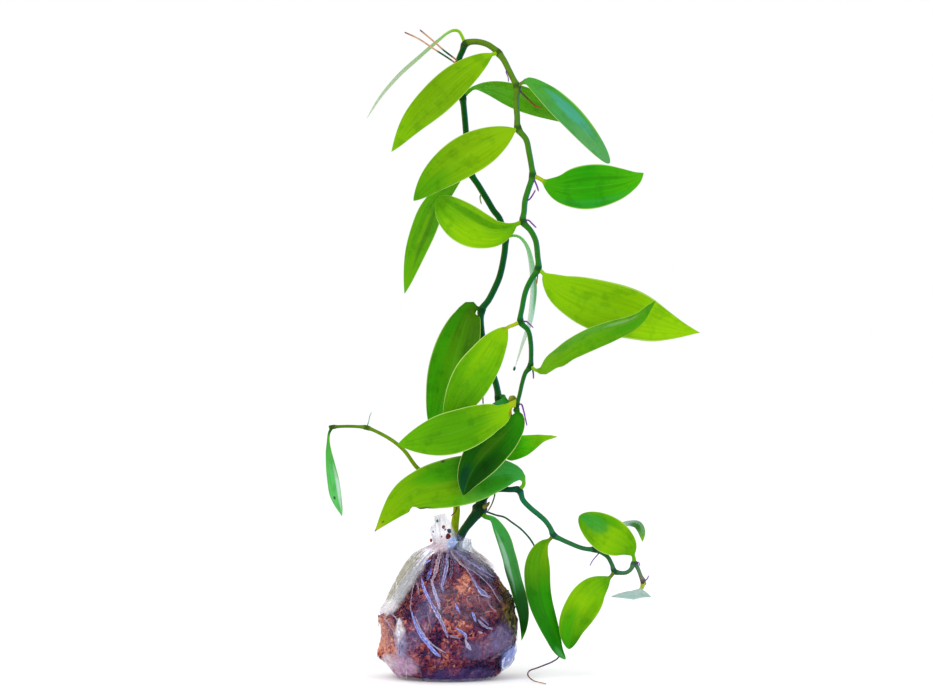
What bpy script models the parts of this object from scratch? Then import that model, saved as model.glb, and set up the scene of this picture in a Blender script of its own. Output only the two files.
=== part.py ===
"""A vanilla orchid vine with two side shoots, rooted in a tied clear bag of bark mix.

Lengths are millimetres until place() or MM turns them into metres. +X is right, +Y is back, +Z is up.
The origin is on the floor under the middle of the bag.
"""

import math

import bmesh
import bpy
from mathutils import Matrix, Vector, noise

MM = 0.001
GAP = 0.3

# Every plant point is (x, z, depth): where it is seen in the plane through the bag's middle, and how
# far behind that plane it lies. The eye is level with the middle of the plant, 3 m in front of it.
EYE = Vector((17.5, -3000.0, 327.0))

LEAF_THICKNESS = 1.3
PETIOLE_THICKNESS = 2.6
BAG_WALL = 0.8
BAG_SIDES = 40
BAG_FOLDS = 10
BAG_DEPTH_RATIO = 0.9
JOINT_SWELLING = 0.8
JOINT_LENGTH = 4.5
STEM_STEP = 11.0
ROOT_STEP = 14.0
LEAF_STEP = 2.0
WELD = 0.001


def place(x, z, depth):
    """The point in metres that lies this far behind the middle plane where the eye sees (x, z)."""
    spread = 1 + depth / -EYE.y
    return MM * Vector((EYE.x + (x - EYE.x) * spread, depth, EYE.z + (z - EYE.z) * spread))


def blend(stops, where):
    """The value at `where` on straight lines between stops of (position, value)."""
    for (start, low), (end, high) in zip(stops, stops[1:]):
        if where <= end:
            share = max(0.0, (where - start) / (end - start))
            return low + (high - low) * share
    return stops[-1][1]


def rounded_path(points, step):
    """A smooth curve through all the points, with a point about every `step` metres."""
    ends = [2 * points[0] - points[1], *points, 2 * points[-1] - points[-2]]
    path = []
    for a, b, c, d in zip(ends, ends[1:], ends[2:], ends[3:]):
        knots = [0.0]
        for start, end in ((a, b), (b, c), (c, d)):
            knots.append(knots[-1] + math.sqrt((end - start).length))
        pieces = max(1, round((c - b).length / step))
        for i in range(pieces):
            path.append(curve_point((a, b, c, d), knots, knots[1] + (knots[2] - knots[1]) * i / pieces))
    path.append(points[-1].copy())
    return path


def curve_point(points, knots, at):
    """The centripetal Catmull-Rom point at knot value `at`."""
    level = list(points)
    for width in (1, 2, 3):
        for i in range(4 - width):
            low = max(knots[i], knots[1]) if width == 3 else knots[i]
            high = min(knots[i + width], knots[2]) if width == 3 else knots[i + width]
            level[i] = level[i].lerp(level[i + 1], (at - low) / (high - low))
    return level[0]


def lengths_along(path):
    """How far along the path each of its points lies."""
    total = [0.0]
    for start, end in zip(path, path[1:]):
        total.append(total[-1] + (end - start).length)
    return total


def point_at(path, total, distance):
    """The point of the path at this distance from its start."""
    for i in range(1, len(path)):
        if distance <= total[i] or i == len(path) - 1:
            share = (distance - total[i - 1]) / (total[i] - total[i - 1])
            return path[i - 1].lerp(path[i], min(1.0, max(0.0, share)))


def finish(name, colour, roughness, alpha=1.0):
    """A plain material of this colour."""
    made = bpy.data.materials.new(name)
    made.use_nodes = True
    shader = made.node_tree.nodes["Principled BSDF"]
    shader.inputs["Base Color"].default_value = (*colour, 1.0)
    shader.inputs["Roughness"].default_value = roughness
    shader.inputs["Metallic"].default_value = 0.0
    shader.inputs["Alpha"].default_value = alpha
    return made


for old in list(bpy.data.objects):
    bpy.data.objects.remove(old, do_unlink=True)

parts = bpy.data.collections.new("vanilla_orchid")
cutters = bpy.data.collections.new("cutters")
bpy.context.scene.collection.children.link(parts)
bpy.context.scene.collection.children.link(cutters)

STEM_GREEN = finish("stem green", (0.05, 0.17, 0.03), 0.45)
SHOOT_GREEN = finish("young stem green", (0.22, 0.30, 0.03), 0.45)
LEAF_GREEN = finish("leaf green", (0.18, 0.42, 0.02), 0.40)
DARK_LEAF_GREEN = finish("shaded leaf green", (0.03, 0.16, 0.02), 0.40)
ROOT_TAN = finish("root tan", (0.42, 0.27, 0.17), 0.70)
ROOT_PURPLE = finish("root purple", (0.25, 0.08, 0.32), 0.60)
ROOT_GREEN = finish("root green", (0.05, 0.14, 0.06), 0.55)
BARK_BROWN = finish("bark brown", (0.23, 0.07, 0.05), 0.90)
CLEAR_FILM = finish("clear film", (0.80, 0.80, 0.86), 0.15, alpha=0.35)


def tube(name, path, radii, sides_step, material):
    """A round curve object along the path, with a radius in millimetres at each point."""
    curve = bpy.data.curves.new(name, "CURVE")
    curve.dimensions = "3D"
    curve.bevel_depth = MM
    curve.bevel_resolution = sides_step
    curve.use_fill_caps = True
    curve.twist_mode = "MINIMUM"
    line = curve.splines.new("POLY")
    line.points.add(len(path) - 1)
    for point, where, radius in zip(line.points, path, radii):
        point.co = (*where, 1.0)
        point.radius = radius
    curve.materials.append(material)
    made = bpy.data.objects.new(name, curve)
    parts.objects.link(made)
    return made


def as_mesh(made):
    """The tube as a closed mesh object of the same name, in the tube's place."""
    name = made.name
    bpy.context.view_layer.update()
    evaluated = made.evaluated_get(bpy.context.evaluated_depsgraph_get())
    mesh = bpy.data.meshes.new_from_object(evaluated)
    welded = bmesh.new()
    welded.from_mesh(mesh)
    bmesh.ops.remove_doubles(welded, verts=welded.verts, dist=WELD * MM)
    bmesh.ops.recalc_face_normals(welded, faces=welded.faces)
    welded.to_mesh(mesh)
    welded.free()
    solid = bpy.data.objects.new(name + "_solid", mesh)
    solid.matrix_world = made.matrix_world.copy()
    curve = made.data
    bpy.data.objects.remove(made, do_unlink=True)
    bpy.data.curves.remove(curve)
    solid.name = name
    parts.objects.link(solid)
    return solid


def cutter_of(path, radii, name):
    """A tube that is one gap fatter and longer, which leaves that gap round a stem."""
    longer = [path[0] + GAP * MM * (path[0] - path[1]).normalized(), *path[1:-1]]
    longer.append(path[-1] + GAP * MM * (path[-1] - path[-2]).normalized())
    fat = as_mesh(tube(name + "_cutter", longer, [radius + GAP for radius in radii], 2, STEM_GREEN))
    parts.objects.unlink(fat)
    cutters.objects.link(fat)
    fat.hide_render = True
    fat.display_type = "WIRE"
    return fat


def trim(made, *against):
    """Cuts the object clear of each cutter."""
    for fat in against:
        cut = made.modifiers.new("clear of " + fat.name, "BOOLEAN")
        cut.operation = "DIFFERENCE"
        cut.solver = "EXACT"
        cut.object = fat


def stem(name, points, radius_stops, swellings, material):
    """A stem through the points, thicker at its joints. Returns its object and its cutter."""
    path = rounded_path([place(*point) for point in points], STEM_STEP * MM)
    total = lengths_along(path)
    radii = []
    for where, run in zip(path, total):
        radius = blend(radius_stops, run / total[-1])
        for joint, swelling in swellings.items():
            away = (where - place(*points[joint])).length / MM
            radius += swelling * math.exp(-((away / JOINT_LENGTH) ** 2))
        radii.append(radius)
    return tube(name, path, radii, 2, material), cutter_of(path, radii, name)


# The vine leaves the mix thick and dark, climbs at the back in a zig-zag, arches over at the top and
# hangs down in front. Each numbered joint carries one leaf.
VINE = [
    (4, 66, 0), (6, 90, -1), (7.5, 115, -2), (9.5, 137, -3), (14, 147, -4), (21.5, 157, -4),
    (30, 168.5, -2), (33.5, 182, 2), (37, 202, 6),
    (41, 222, 10), (46, 242, 13), (49.5, 262, 16),
    (49, 279, 18), (46, 295, 19), (38, 318, 21), (32.5, 342, 22),
    (32, 367, 22), (39, 377.5, 22), (45, 389, 23), (50, 401, 23), (53.5, 416, 24), (55.5, 430, 24),
    (55.5, 439, 24), (50, 459, 24), (44, 467, 24), (37.5, 478, 23), (29, 492, 22.5),
    (21, 505, 22), (18, 525, 22), (16.5, 544, 21), (15, 562, 20),
    (13, 580, 20), (9.5, 598, 17), (8, 612, 15), (10, 620, 14), (13, 627, 13),
    (15.5, 633.5, 12), (20, 635.5, 11), (28, 635.8, 8), (37, 633.5, 4), (43.5, 629.5, 0),
    (49, 624.5, -2), (54.5, 617, -5), (59.5, 607, -8), (64.5, 597, -12),
    (67.5, 591, -14), (66.5, 577, -17), (67.5, 562, -20),
    (68.5, 549, -22), (76.5, 538, -24), (79.5, 525, -25), (82, 511, -26),
    (83, 502, -27), (79, 489, -28), (75.5, 477, -29), (74.5, 466, -30),
    (73.5, 456, -31), (81, 447, -32), (86, 437, -33), (88, 422, -34),
    (88.5, 409, -34), (81.5, 398, -35), (76, 386, -35), (72.8, 371, -36),
    (71, 356, -36), (78.5, 347, -37), (81, 336, -37), (81.5, 322, -38),
    (80.5, 311, -38), (76, 305, -39), (72.7, 295, -39.5), (70, 283, -40),
    (67, 272, -40), (66.5, 267.5, -39.5),
]
VINE_JOINTS = (9, 12, 16, 22, 27, 31, 36, 41, 45, 48, 52, 56, 60, 64, 68, 72)
VINE_LOWEST_JOINT = 6
LOWEST_JOINT_SWELLING = 2.8
VINE_RADII = [
    (0, 4.6), (0.07, 4.5), (0.085, 4.2), (0.1, 5.2), (0.13, 4.9), (0.17, 3.3), (0.5, 3.1), (0.85, 2.8),
    (0.93, 2.4), (1, 1.9),
]

# The left shoot stands in the mix beside the vine, turns left behind the big leaf and ends in one leaf.
LEFT_SHOOT = [
    (3, 72, 9), (3.8, 100, 9), (4.6, 137, 8.5), (5.3, 153, 8.5), (7, 170, 8.5), (4.5, 181, 9),
    (-5, 190.5, 9), (-14, 197.5, 9), (-24, 204, 8), (-32.5, 210, 7), (-45, 226.5, 5), (-55, 235.5, 4),
    (-69, 244, 3), (-83, 250, 2), (-92, 251, 1.5), (-104, 251.3, 1), (-117.5, 250.5, 0),
    (-120.5, 249.8, 0),
]
LEFT_SHOOT_JOINTS = (13, 16)
LEFT_SHOOT_RADII = [(0, 4.1), (0.32, 4.0), (0.42, 2.8), (0.55, 2.2), (1, 1.4)]

# The right shoot grows from the vine's lowest joint.
RIGHT_SHOOT = [
    (29, 168.5, -2), (34, 178, -4), (40, 184.5, -6), (48, 188, -9), (60, 188, -11),
    (69.3, 187.5, -12), (73.5, 177.5, -12), (81, 169.5, -12), (89.5, 162.5, -12), (95.5, 157, -12),
    (100.5, 150, -12),
    (104, 142.5, -12), (111.5, 138.3, -12), (121, 134, -11), (131, 130, -10), (138, 128.5, -9),
    (145, 128, -8), (151.5, 125.3, -8), (158.3, 120.3, -9), (162.3, 113, -9.5),
    (164.8, 106.3, -10), (171, 104.7, -10), (177, 105.2, -9), (181.5, 108.7, -8.5),
    (184.5, 115, -8), (188.3, 109, -7), (191, 102, -6),
    (193.6, 96, -5), (194, 92.8, -4.5),
]
RIGHT_SHOOT_JOINTS = (5, 11, 16, 20, 24, 27)
RIGHT_SHOOT_RADII = [(0, 3.0), (0.3, 2.6), (0.7, 2.1), (1, 1.9)]

vine_swellings = {joint: JOINT_SWELLING for joint in VINE_JOINTS}
vine_swellings[VINE_LOWEST_JOINT] = LOWEST_JOINT_SWELLING
vine, vine_cutter = stem("vine_stem", VINE, VINE_RADII, vine_swellings, STEM_GREEN)
left_swellings = {joint: JOINT_SWELLING for joint in LEFT_SHOOT_JOINTS}
left_shoot, left_cutter = stem(
    "left_shoot_stem", LEFT_SHOOT, LEFT_SHOOT_RADII, left_swellings, SHOOT_GREEN
)
right_swellings = {joint: JOINT_SWELLING for joint in RIGHT_SHOOT_JOINTS}
right_shoot, right_cutter = stem(
    "right_shoot_stem", RIGHT_SHOOT, RIGHT_SHOOT_RADII, right_swellings, STEM_GREEN
)
trim(as_mesh(right_shoot), vine_cutter)


# A leaf is a fleshy blade on a short stalk that clasps its stem. Its spine runs from inside the stem
# to the tip. Its turn is how far the blade's face is turned away from the eye, its fold lifts both
# halves from the midrib, and the blade is as wide as the profile says.
STALK_STATIONS = (0.0, 0.5)
BLADE_STATIONS = (0.0, 0.07, 0.17, 0.3, 0.44, 0.58, 0.72, 0.84, 0.94, 1.0)
ACROSS = (-1.0, -0.55, 0.0, 0.55, 1.0)
TOWARDS_EYE = Vector((0.0, -1.0, 0.0))
UP = Vector((0.0, 0.0, 1.0))
TIP_HALF_WIDTH = 0.6
TIP_START = 0.9
STALK_BLEND = 0.12
EDGE_THINNING = 0.3
FOLD_CURVE = 1.5
EDGE_WAVES = 3


def blade_share(run, widest, point, base):
    """The share of the full width at this share of the blade's length."""
    if run < widest:
        return math.sin(math.pi / 2 * run / widest) ** base
    return math.cos(math.pi / 2 * (run - widest) / (1 - widest)) ** point


def leaf(name, cutter, spine, width, widest=0.45, point=0.85, base=0.8, turn=(0, 0), fold=10, wave=0.0,
         stalk=9.0, stalk_width=3.8, edges=(), towards=TOWARDS_EYE, material=LEAF_GREEN):
    """One leaf on the stem that the cutter belongs to.

    Each of the edges is a bite out of one edge, or a belly where its depth is negative: (side, share
    of length, depth, share of length that it takes up). Side 1 is the right one, seen with the tip up.
    """
    path = rounded_path([place(*where) for where in spine], LEAF_STEP * MM)
    total = lengths_along(path)
    length = total[-1]
    blade_start = stalk * MM / length
    runs = [blade_start * station for station in STALK_STATIONS]
    runs += [blade_start + (1 - blade_start) * station for station in BLADE_STATIONS]
    turns = list(zip([i / (len(turn) - 1) for i in range(len(turn))], turn))

    sheet = bmesh.new()
    thick = sheet.verts.layers.deform.verify()
    rows = []
    for run in runs:
        blade_run = (run - blade_start) / (1 - blade_start)
        share = blade_share(blade_run, widest, point, base) if blade_run > 0 else 0.0
        half = max(width / 2 * share, TIP_HALF_WIDTH if blade_run > TIP_START else stalk_width / 2)
        centre = point_at(path, total, run * length)
        ahead = point_at(path, total, min(length, run * length + LEAF_STEP * MM))
        behind = point_at(path, total, max(0.0, run * length - LEAF_STEP * MM))
        along = (ahead - behind).normalized()
        facing = (towards - along * along.dot(towards)).normalized()
        turned = Matrix.Rotation(math.radians(blend(turns, run)), 3, along)
        face = turned @ facing
        side = along.cross(face)
        row = []
        for across in ACROSS:
            reach = half
            for side_bitten, middle, depth, length_bitten in edges:
                if across == side_bitten:
                    reach -= depth * math.exp(-(((blade_run - middle) / length_bitten) ** 2))
            lift = reach * math.sin(math.radians(fold)) * share * abs(across) ** FOLD_CURVE
            lift += wave * share * across * abs(across) * math.sin(EDGE_WAVES * math.pi * blade_run)
            vert = sheet.verts.new(centre + MM * (side * reach * across + face * lift))
            blade_thickness = LEAF_THICKNESS * (1 - EDGE_THINNING * abs(across))
            stalk_share = max(0.0, 1 - max(0.0, blade_run) / STALK_BLEND)
            wanted = blade_thickness + (PETIOLE_THICKNESS - blade_thickness) * stalk_share
            vert[thick][0] = wanted / PETIOLE_THICKNESS
            row.append(vert)
        rows.append(row)
    for low, high in zip(rows, rows[1:]):
        for i in range(len(ACROSS) - 1):
            sheet.faces.new((low[i], low[i + 1], high[i + 1], high[i]))
    bmesh.ops.triangulate(sheet, faces=sheet.faces)
    mesh = bpy.data.meshes.new(name)
    sheet.to_mesh(mesh)
    sheet.free()
    mesh.materials.append(material)

    made = bpy.data.objects.new(name, mesh)
    parts.objects.link(made)
    made.vertex_groups.new(name="thickness")
    wall = made.modifiers.new("fleshy blade", "SOLIDIFY")
    wall.thickness = PETIOLE_THICKNESS * MM
    wall.offset = 0.0
    wall.vertex_group = "thickness"
    trim(made, cutter)
    return made


# The vine's leaves, from its lowest joint up the back, over the arch and down the front.
leaf("vine_leaf_01", vine_cutter, [
    (29.5, 168.5, -2), (35, 161.5, -7), (43, 158.5, -11), (50, 148, -14), (57, 134, -19), (62, 119, -24),
    (65.5, 105, -27), (69, 92, -29), (72.5, 77, -30), (74.5, 62, -30), (74, 49, -29), (72, 37, -28),
], width=28, widest=0.4, turn=(20, 35, 62, 74, 70, 70), stalk=14, stalk_width=5.5, material=DARK_LEAF_GREEN)
leaf("vine_leaf_02", vine_cutter, [
    (41, 222, 10), (47, 226, 9), (57, 228.5, 10), (65, 230.2, 11), (74, 232.3, 11), (83.5, 235.9, 12),
    (91, 238.7, 12), (99.5, 240.3, 12), (107.5, 241, 12),
], width=25, widest=0.25, point=2.0, turn=(0, 10))
leaf("vine_leaf_03", vine_cutter, [
    (49, 279, 18), (54, 281.5, 11), (54, 276, 4), (49.5, 262, -1), (45.5, 240, -3), (42, 215, -3),
], width=31, turn=(10, 10), stalk=12, material=DARK_LEAF_GREEN)
leaf("vine_leaf_04", vine_cutter, [
    (32, 367, 22), (27, 369.5, 19), (21.5, 368.5, 17), (17, 358, 16), (10, 337, 14), (3, 312, 12),
    (-4, 287, 10), (-11.5, 262, 8), (-17, 239, 8),
], width=46, base=0.5, turn=(0, 10), fold=14, stalk=6, stalk_width=4.4)
leaf("vine_leaf_05", vine_cutter, [
    (55.5, 439, 24), (63, 442, 24), (70, 440.5, 23), (77, 432, 22), (81, 419, 21), (83, 405, 20),
    (84, 389, 19), (83, 374, 18), (80, 355, 17), (74, 337, 16), (65, 309, 15),
], width=30, point=1.2, turn=(78, 78), fold=6)
leaf("vine_leaf_06", vine_cutter, [
    (21, 505, 22), (14, 502, 19), (3, 493, 16), (-8, 481, 12), (-16, 468, 9), (-25, 445, 6),
    (-32, 427, 3), (-38, 409, 0), (-45, 384, -2),
], width=34, turn=(40, 40))
leaf("vine_leaf_07", vine_cutter, [
    (13, 580, 20), (20, 587, 20), (25, 590, 20), (41, 589.5, 19), (66, 582.5, 17), (91, 573, 15),
    (111, 563.5, 14), (131, 552, 13),
], width=30, turn=(40, 35), stalk=14, stalk_width=4.2)
leaf("vine_leaf_08", vine_cutter, [
    (15.5, 633.5, 12), (13, 640, 13), (9, 646.5, 15), (3, 647, 17), (-3, 644, 18), (-9, 639, 19),
    (-15, 634, 20), (-31, 620, 22), (-50, 603, 24), (-69, 581, 26), (-83, 559, 28),
], width=26, turn=(-10, -50, -86, -86, -86, -86), fold=5, stalk=22, stalk_width=5)
leaf("vine_leaf_09", vine_cutter, [
    (49, 624.5, -2), (42, 623, -7), (12.5, 602.5, -15), (-13, 579, -20), (-37.5, 554.5, -22),
    (-58, 526, -20),
], width=33, base=0.62, fold=12)
leaf("vine_leaf_10", vine_cutter, [
    (67.5, 591, -14), (73, 595, -17), (78.5, 596.5, -20), (95, 584, -24), (109, 570, -26), (123, 556, -27),
    (138, 540, -26), (150, 526.5, -24), (160, 514.5, -22),
], width=40, point=0.5, base=0.65, turn=(-50, -50), fold=8, stalk=7, stalk_width=4.5)
leaf("vine_leaf_11", vine_cutter, [
    (68.5, 549, -22), (62, 546.5, -26), (34.6, 531.8, -36), (8.6, 517, -42), (-15.2, 499, -44),
    (-36, 477, -42),
], width=40, point=0.75, base=0.7, fold=12, stalk=4)
leaf("vine_leaf_12", vine_cutter, [
    (83, 502, -27), (90, 499, -30), (98, 494, -31), (111, 489.5, -32), (131, 489.7, -34), (151, 492, -34),
    (171, 495, -32), (186, 499.5, -29), (194, 504.5, -26),
], width=44, fold=12, stalk=12, stalk_width=4)
leaf("vine_leaf_13", vine_cutter, [
    (73.5, 456, -31), (66, 453, -33), (59, 448.5, -34), (46, 445.5, -35), (31, 449, -35),
    (16, 456.5, -33), (1, 466.5, -29), (-12, 478.5, -24),
], width=42, widest=0.58, point=0.5, turn=(-25, -22), fold=20, wave=1.0, stalk=7, stalk_width=4.4)
leaf("vine_leaf_14", vine_cutter, [
    (88.5, 409, -34), (94, 404, -36), (98, 399, -36), (111, 388, -36), (131, 378.5, -35), (151, 371, -34),
    (171, 365, -33), (191, 360, -31), (211, 354, -29), (231, 348.5, -27), (250, 345, -25),
], width=50, widest=0.41, point=1.0, base=0.65, fold=8, wave=1.0, stalk=8,
     edges=[(1, 0.74, -3.5, 0.14), (-1, 0.58, -3, 0.18)])
leaf("vine_leaf_15", vine_cutter, [
    (71, 356, -36), (64, 352.5, -37), (58, 350, -37), (47, 335.5, -36), (36, 317, -35), (23, 299, -34),
    (11, 279, -33), (1, 260, -32), (-5, 246, -31),
], width=41, base=0.62, fold=12, stalk=15, edges=[(-1, 0.3, 3, 0.2)])
leaf("vine_leaf_16", vine_cutter, [
    (80.5, 311, -38), (86.5, 307.5, -41), (93, 307, -44), (101, 316, -48), (111, 323, -52), (121, 330, -55),
    (141, 340.5, -59), (161, 348, -61), (181, 355, -62), (191, 361, -61), (199, 369.5, -59),
    (206, 377, -57),
], width=33, base=0.55, turn=(50, 45), stalk=8, edges=[(1, 0.14, -3.5, 0.08)])
leaf("vine_leaf_17", vine_cutter, [
    (67, 274, -40), (62, 273, -44), (56.5, 268, -46), (50.5, 262.8, -48), (41, 259.5, -51), (31, 255.5, -54),
    (11, 247.5, -57), (-9, 242, -58), (-29, 237.5, -57), (-52, 233, -55),
], width=42, widest=0.54, base=0.62, stalk=8, stalk_width=6.5)
leaf("vine_leaf_18", vine_cutter, [
    (66.5, 269, -39.5), (68, 262, -39.5), (64.5, 254, -39), (54.5, 243, -38), (38.5, 227.5, -36.5),
    (26.5, 212.5, -35), (18.5, 198, -34), (13.8, 182.5, -33),
], width=39, widest=0.5, point=0.75, base=0.5, fold=8, stalk=4, stalk_width=5, material=DARK_LEAF_GREEN)

leaf("left_shoot_leaf", left_cutter, [
    (-117.5, 250.5, 0), (-120, 244, 0), (-119.5, 231, -1), (-116.5, 215, -2), (-113, 197, -3),
    (-110, 179, -4), (-107, 161.5, -4),
], width=28, widest=0.62, turn=(62, 62), fold=6, stalk=7, stalk_width=2.6)

leaf("right_shoot_leaf_1", right_cutter, [
    (69.3, 187.5, -12), (74, 193, -15), (72.7, 200, -18), (66, 203.5, -20), (56, 204, -21), (41, 202.5, -22),
    (21, 199, -23), (1, 195, -24), (-19, 190.5, -24), (-39, 183, -24), (-49, 176, -24),
    (-59, 165.5, -23), (-75, 146, -22),
], width=49, widest=0.4, point=1.0, stalk=12, edges=[(-1, 0.72, 5.0, 0.035)])
leaf("right_shoot_leaf_2", right_cutter, [
    (104, 142.5, -12), (100, 138, -13), (95, 134, -15), (90.2, 126, -17), (87.6, 115, -19),
    (87, 102, -20), (88, 87.6, -21), (91.3, 72.6, -21), (96.6, 57.6, -21), (102.6, 42.6, -20),
    (108.7, 27.6, -18), (115.9, 18.3, -16),
], width=27.5, widest=0.3, point=0.6, turn=(-10, -22, -25), fold=8, stalk=6, stalk_width=3.4)
leaf("right_shoot_leaf_3", right_cutter, [
    (145, 128, -8), (150, 140, 0), (160, 149, 8), (172, 154, 11), (181, 155.5, 12), (188.5, 153.5, 12),
    (192, 147, 11), (193, 136, 10),
], width=15, widest=0.6, turn=(75, 75, 65, 20), stalk=10, stalk_width=3.0)
leaf("right_shoot_leaf_4", right_cutter, [
    (164.8, 106.3, -10), (161, 101, -13), (155.5, 96.5, -17), (143.3, 86.8, -22), (131.5, 69.5, -26),
    (122.2, 50.9, -27), (119.2, 28.5, -26),
], width=34, point=0.6, stalk=8, stalk_width=3.4)
leaf("right_shoot_leaf_5", right_cutter, [
    (184.5, 115, -8), (184, 121, -10), (178, 130.5, -14), (157.5, 143.5, -20), (141.5, 154, -24),
    (129.5, 161.5, -27),
], width=37, widest=0.5, point=0.55, base=0.7, stalk=8, stalk_width=3.6)
leaf("right_shoot_leaf_6", right_cutter, [
    (193.6, 96, -5), (192.5, 90, -7), (189, 87, -13), (182, 86, -28), (181, 83, -44), (184, 78, -60),
], width=40, widest=0.4, fold=-14, towards=UP, stalk=10, stalk_width=3.6)


# Aerial roots are thin and limp. Each starts inside its stem, opposite a leaf.
def shoot_tip(name, cutter, points, radii, material):
    """A thin tapering piece that grows out of a stem: a root or a bud."""
    path = rounded_path([place(*point) for point in points], ROOT_STEP * MM)
    total = lengths_along(path)
    sizes = [blend(radii, run / total[-1]) for run in total]
    trim(as_mesh(tube(name, path, sizes, 1, material)), cutter)


ROOTS = [
    (vine_cutter, [(9, 616, 14.5), (4.5, 619.5, 9), (-5.5, 627, 2), (-16, 636.3, -4), (-30, 648, -8)],
     1.0, 0.8, ROOT_TAN),
    (vine_cutter, [(8.2, 611.5, 15), (5, 615, 8), (-5.5, 622.2, 0), (-16.2, 629, -4), (-30.7, 638.6, -7),
                   (-45.3, 645.5, -9)], 1.0, 0.8, ROOT_TAN),
    (vine_cutter, [(58.5, 609, -7.5), (56.5, 606, -10), (58.6, 600, -13), (58.8, 595.5, -14.5)],
     0.6, 0.5, ROOT_PURPLE),
    (vine_cutter, [(67.5, 591, -14), (71, 586, -18), (80, 577, -22), (86, 571.5, -24), (93, 569.8, -25)],
     1.0, 0.7, ROOT_TAN),
    (vine_cutter, [(83, 502, -27), (85.5, 496, -29.5), (87.5, 491, -30), (89, 486, -30)],
     0.9, 0.8, ROOT_PURPLE),
    (vine_cutter, [(75.5, 477, -29), (79.5, 478, -32), (83, 482.5, -33), (86, 488, -33.5)],
     0.8, 0.7, ROOT_PURPLE),
    (vine_cutter, [(73.5, 456, -31), (78.5, 457.5, -34), (82.5, 454, -35.5), (87, 449.5, -36.5)],
     0.9, 0.7, ROOT_PURPLE),
    (vine_cutter, [(88.5, 409, -34), (88, 402, -37.5), (87, 393, -38.5)], 0.7, 0.6, ROOT_TAN),
    (vine_cutter, [(71, 356, -36), (77, 356, -38.5), (80.5, 353, -40), (84, 349.5, -40)],
     0.9, 0.6, ROOT_PURPLE),
    (vine_cutter, [(80.5, 311, -38), (83, 307.5, -33.5), (83.8, 303, -32), (83.8, 298.5, -32)],
     0.8, 0.7, ROOT_PURPLE),
    (vine_cutter, [(67, 272, -40), (71.5, 273.5, -42), (74, 267, -43), (76, 258, -43.5),
                   (77.5, 251.5, -43.5)], 0.9, 0.6, ROOT_PURPLE),
    (vine_cutter, [(33.3, 485, 22.7), (30.5, 481, 18.5), (31, 476.5, 17.5), (32, 473, 17.5)],
     0.8, 0.6, ROOT_TAN),
    (vine_cutter, [(36, 325, 21.3), (34, 319, 16.5), (33, 297, 14), (33.5, 273, 12)], 0.8, 0.7, ROOT_PURPLE),
    (right_cutter, [(150, 125.5, -8), (147.3, 122, -10.5), (143.4, 117.6, -11), (140, 111.4, -11)],
     0.6, 0.5, ROOT_PURPLE),
    (right_cutter, [(186, 112.5, -7.6), (189, 115.5, -11), (190.5, 111, -12)], 0.6, 0.5, ROOT_PURPLE),
    (right_cutter, [(193.6, 96, -5), (197.3, 98.5, -7), (199.5, 102.5, -7)], 0.7, 0.5, ROOT_PURPLE),
    (right_cutter, [(45, 187, -8), (45, 182, -12.5), (42, 173, -14.5), (38, 166, -14.5)],
     0.8, 0.6, ROOT_TAN),
    (left_cutter, [(7, 173, 8), (7.5, 171.5, 3), (5, 165, 2), (1, 161.5, 2.5)], 0.6, 0.5, ROOT_TAN),
    (left_cutter, [(-83, 250, 2), (-80.8, 256.5, 1), (-80, 261, 0), (-78, 265.5, 0)], 0.6, 0.5, ROOT_GREEN),
]
for number, (cutter, points, start, end, material) in enumerate(ROOTS, 1):
    shoot_tip(f"aerial_root_{number:02d}", cutter, points, [(0, start), (1, end)], material)

# One long root runs right from the lowest joint, drops behind a leaf and lies on the floor.
shoot_tip("aerial_root_long", vine_cutter, [
    (29.5, 168.5, -2), (38, 165.5, 3), (46.5, 162.5, 3), (54.5, 160.5, 2), (62, 155.5, 2), (73, 147, 2),
    (84, 133, 4), (92, 107, 6), (100, 77, 7), (107, 47, 7), (110, 29, 5), (109, 20.5, 4), (103, 16, 2),
    (96, 13, 0), (87, 9.5, -5), (81, 7.5, -10), (78.5, 5, -18), (79, 1, -34), (84, -3, -48),
    (91, -5, -58), (97, -6.3, -68),
], [(0, 1.0), (0.3, 0.9), (0.7, 0.75), (1, 0.55)], ROOT_GREEN)

shoot_tip("vine_growing_tip", vine_cutter, [(67, 275, -38), (63, 278, -34), (60, 281.5, -33)],
          [(0, 2.2), (0.5, 4.0), (0.8, 4.2), (1, 3.0)], SHOOT_GREEN)
shoot_tip("vine_lowest_bud", vine_cutter, [(31, 169, -3), (37.5, 172.5, -12), (40, 176, -14)],
          [(0, 2.2), (0.6, 2.0), (1, 0.8)], SHOOT_GREEN)


# The bag and the mix are lofts of rings. A ring is (height, half width, shift of its middle to the
# right, pleat depth).
FILM_RINGS = [
    (0, 22, -1.5, 0), (0, 46, -1.5, 0), (3, 53, -2, 0), (8, 57, -1.5, 0), (13, 62, -0.5, 0),
    (18, 66, -1.5, 0), (22, 70, -4, 0), (27, 71, -3.5, 0), (36, 70.5, -1, 0), (50, 71, -1, 0),
    (61, 71.5, -1.5, 0), (69, 69.2, -0.2, 0.1), (78, 65.4, 1, 0.3), (87, 60.2, 0.8, 0.5),
    (97.5, 53.8, -0.2, 0.9), (107, 47.5, -1, 1.2), (114, 42.5, -1.2, 1.3), (121, 35.5, -2, 1.4),
    (126, 29.5, -3.2, 1.3), (131, 21.5, -0.8, 0.9), (134.5, 18, 2.3, 0.4), (138.5, 18, 2.3, 0.4),
]
RUFFLE_RINGS = [(0.25, 18, 2.3, 0.7), (0.6, 18.2, 1.2, 1.2), (1.0, 19, 0.8, 1.6)]
RUFFLE_LOW, RUFFLE_HIGH = 1.5, 25.0
RUFFLE_SLOPE = 1.6
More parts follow.
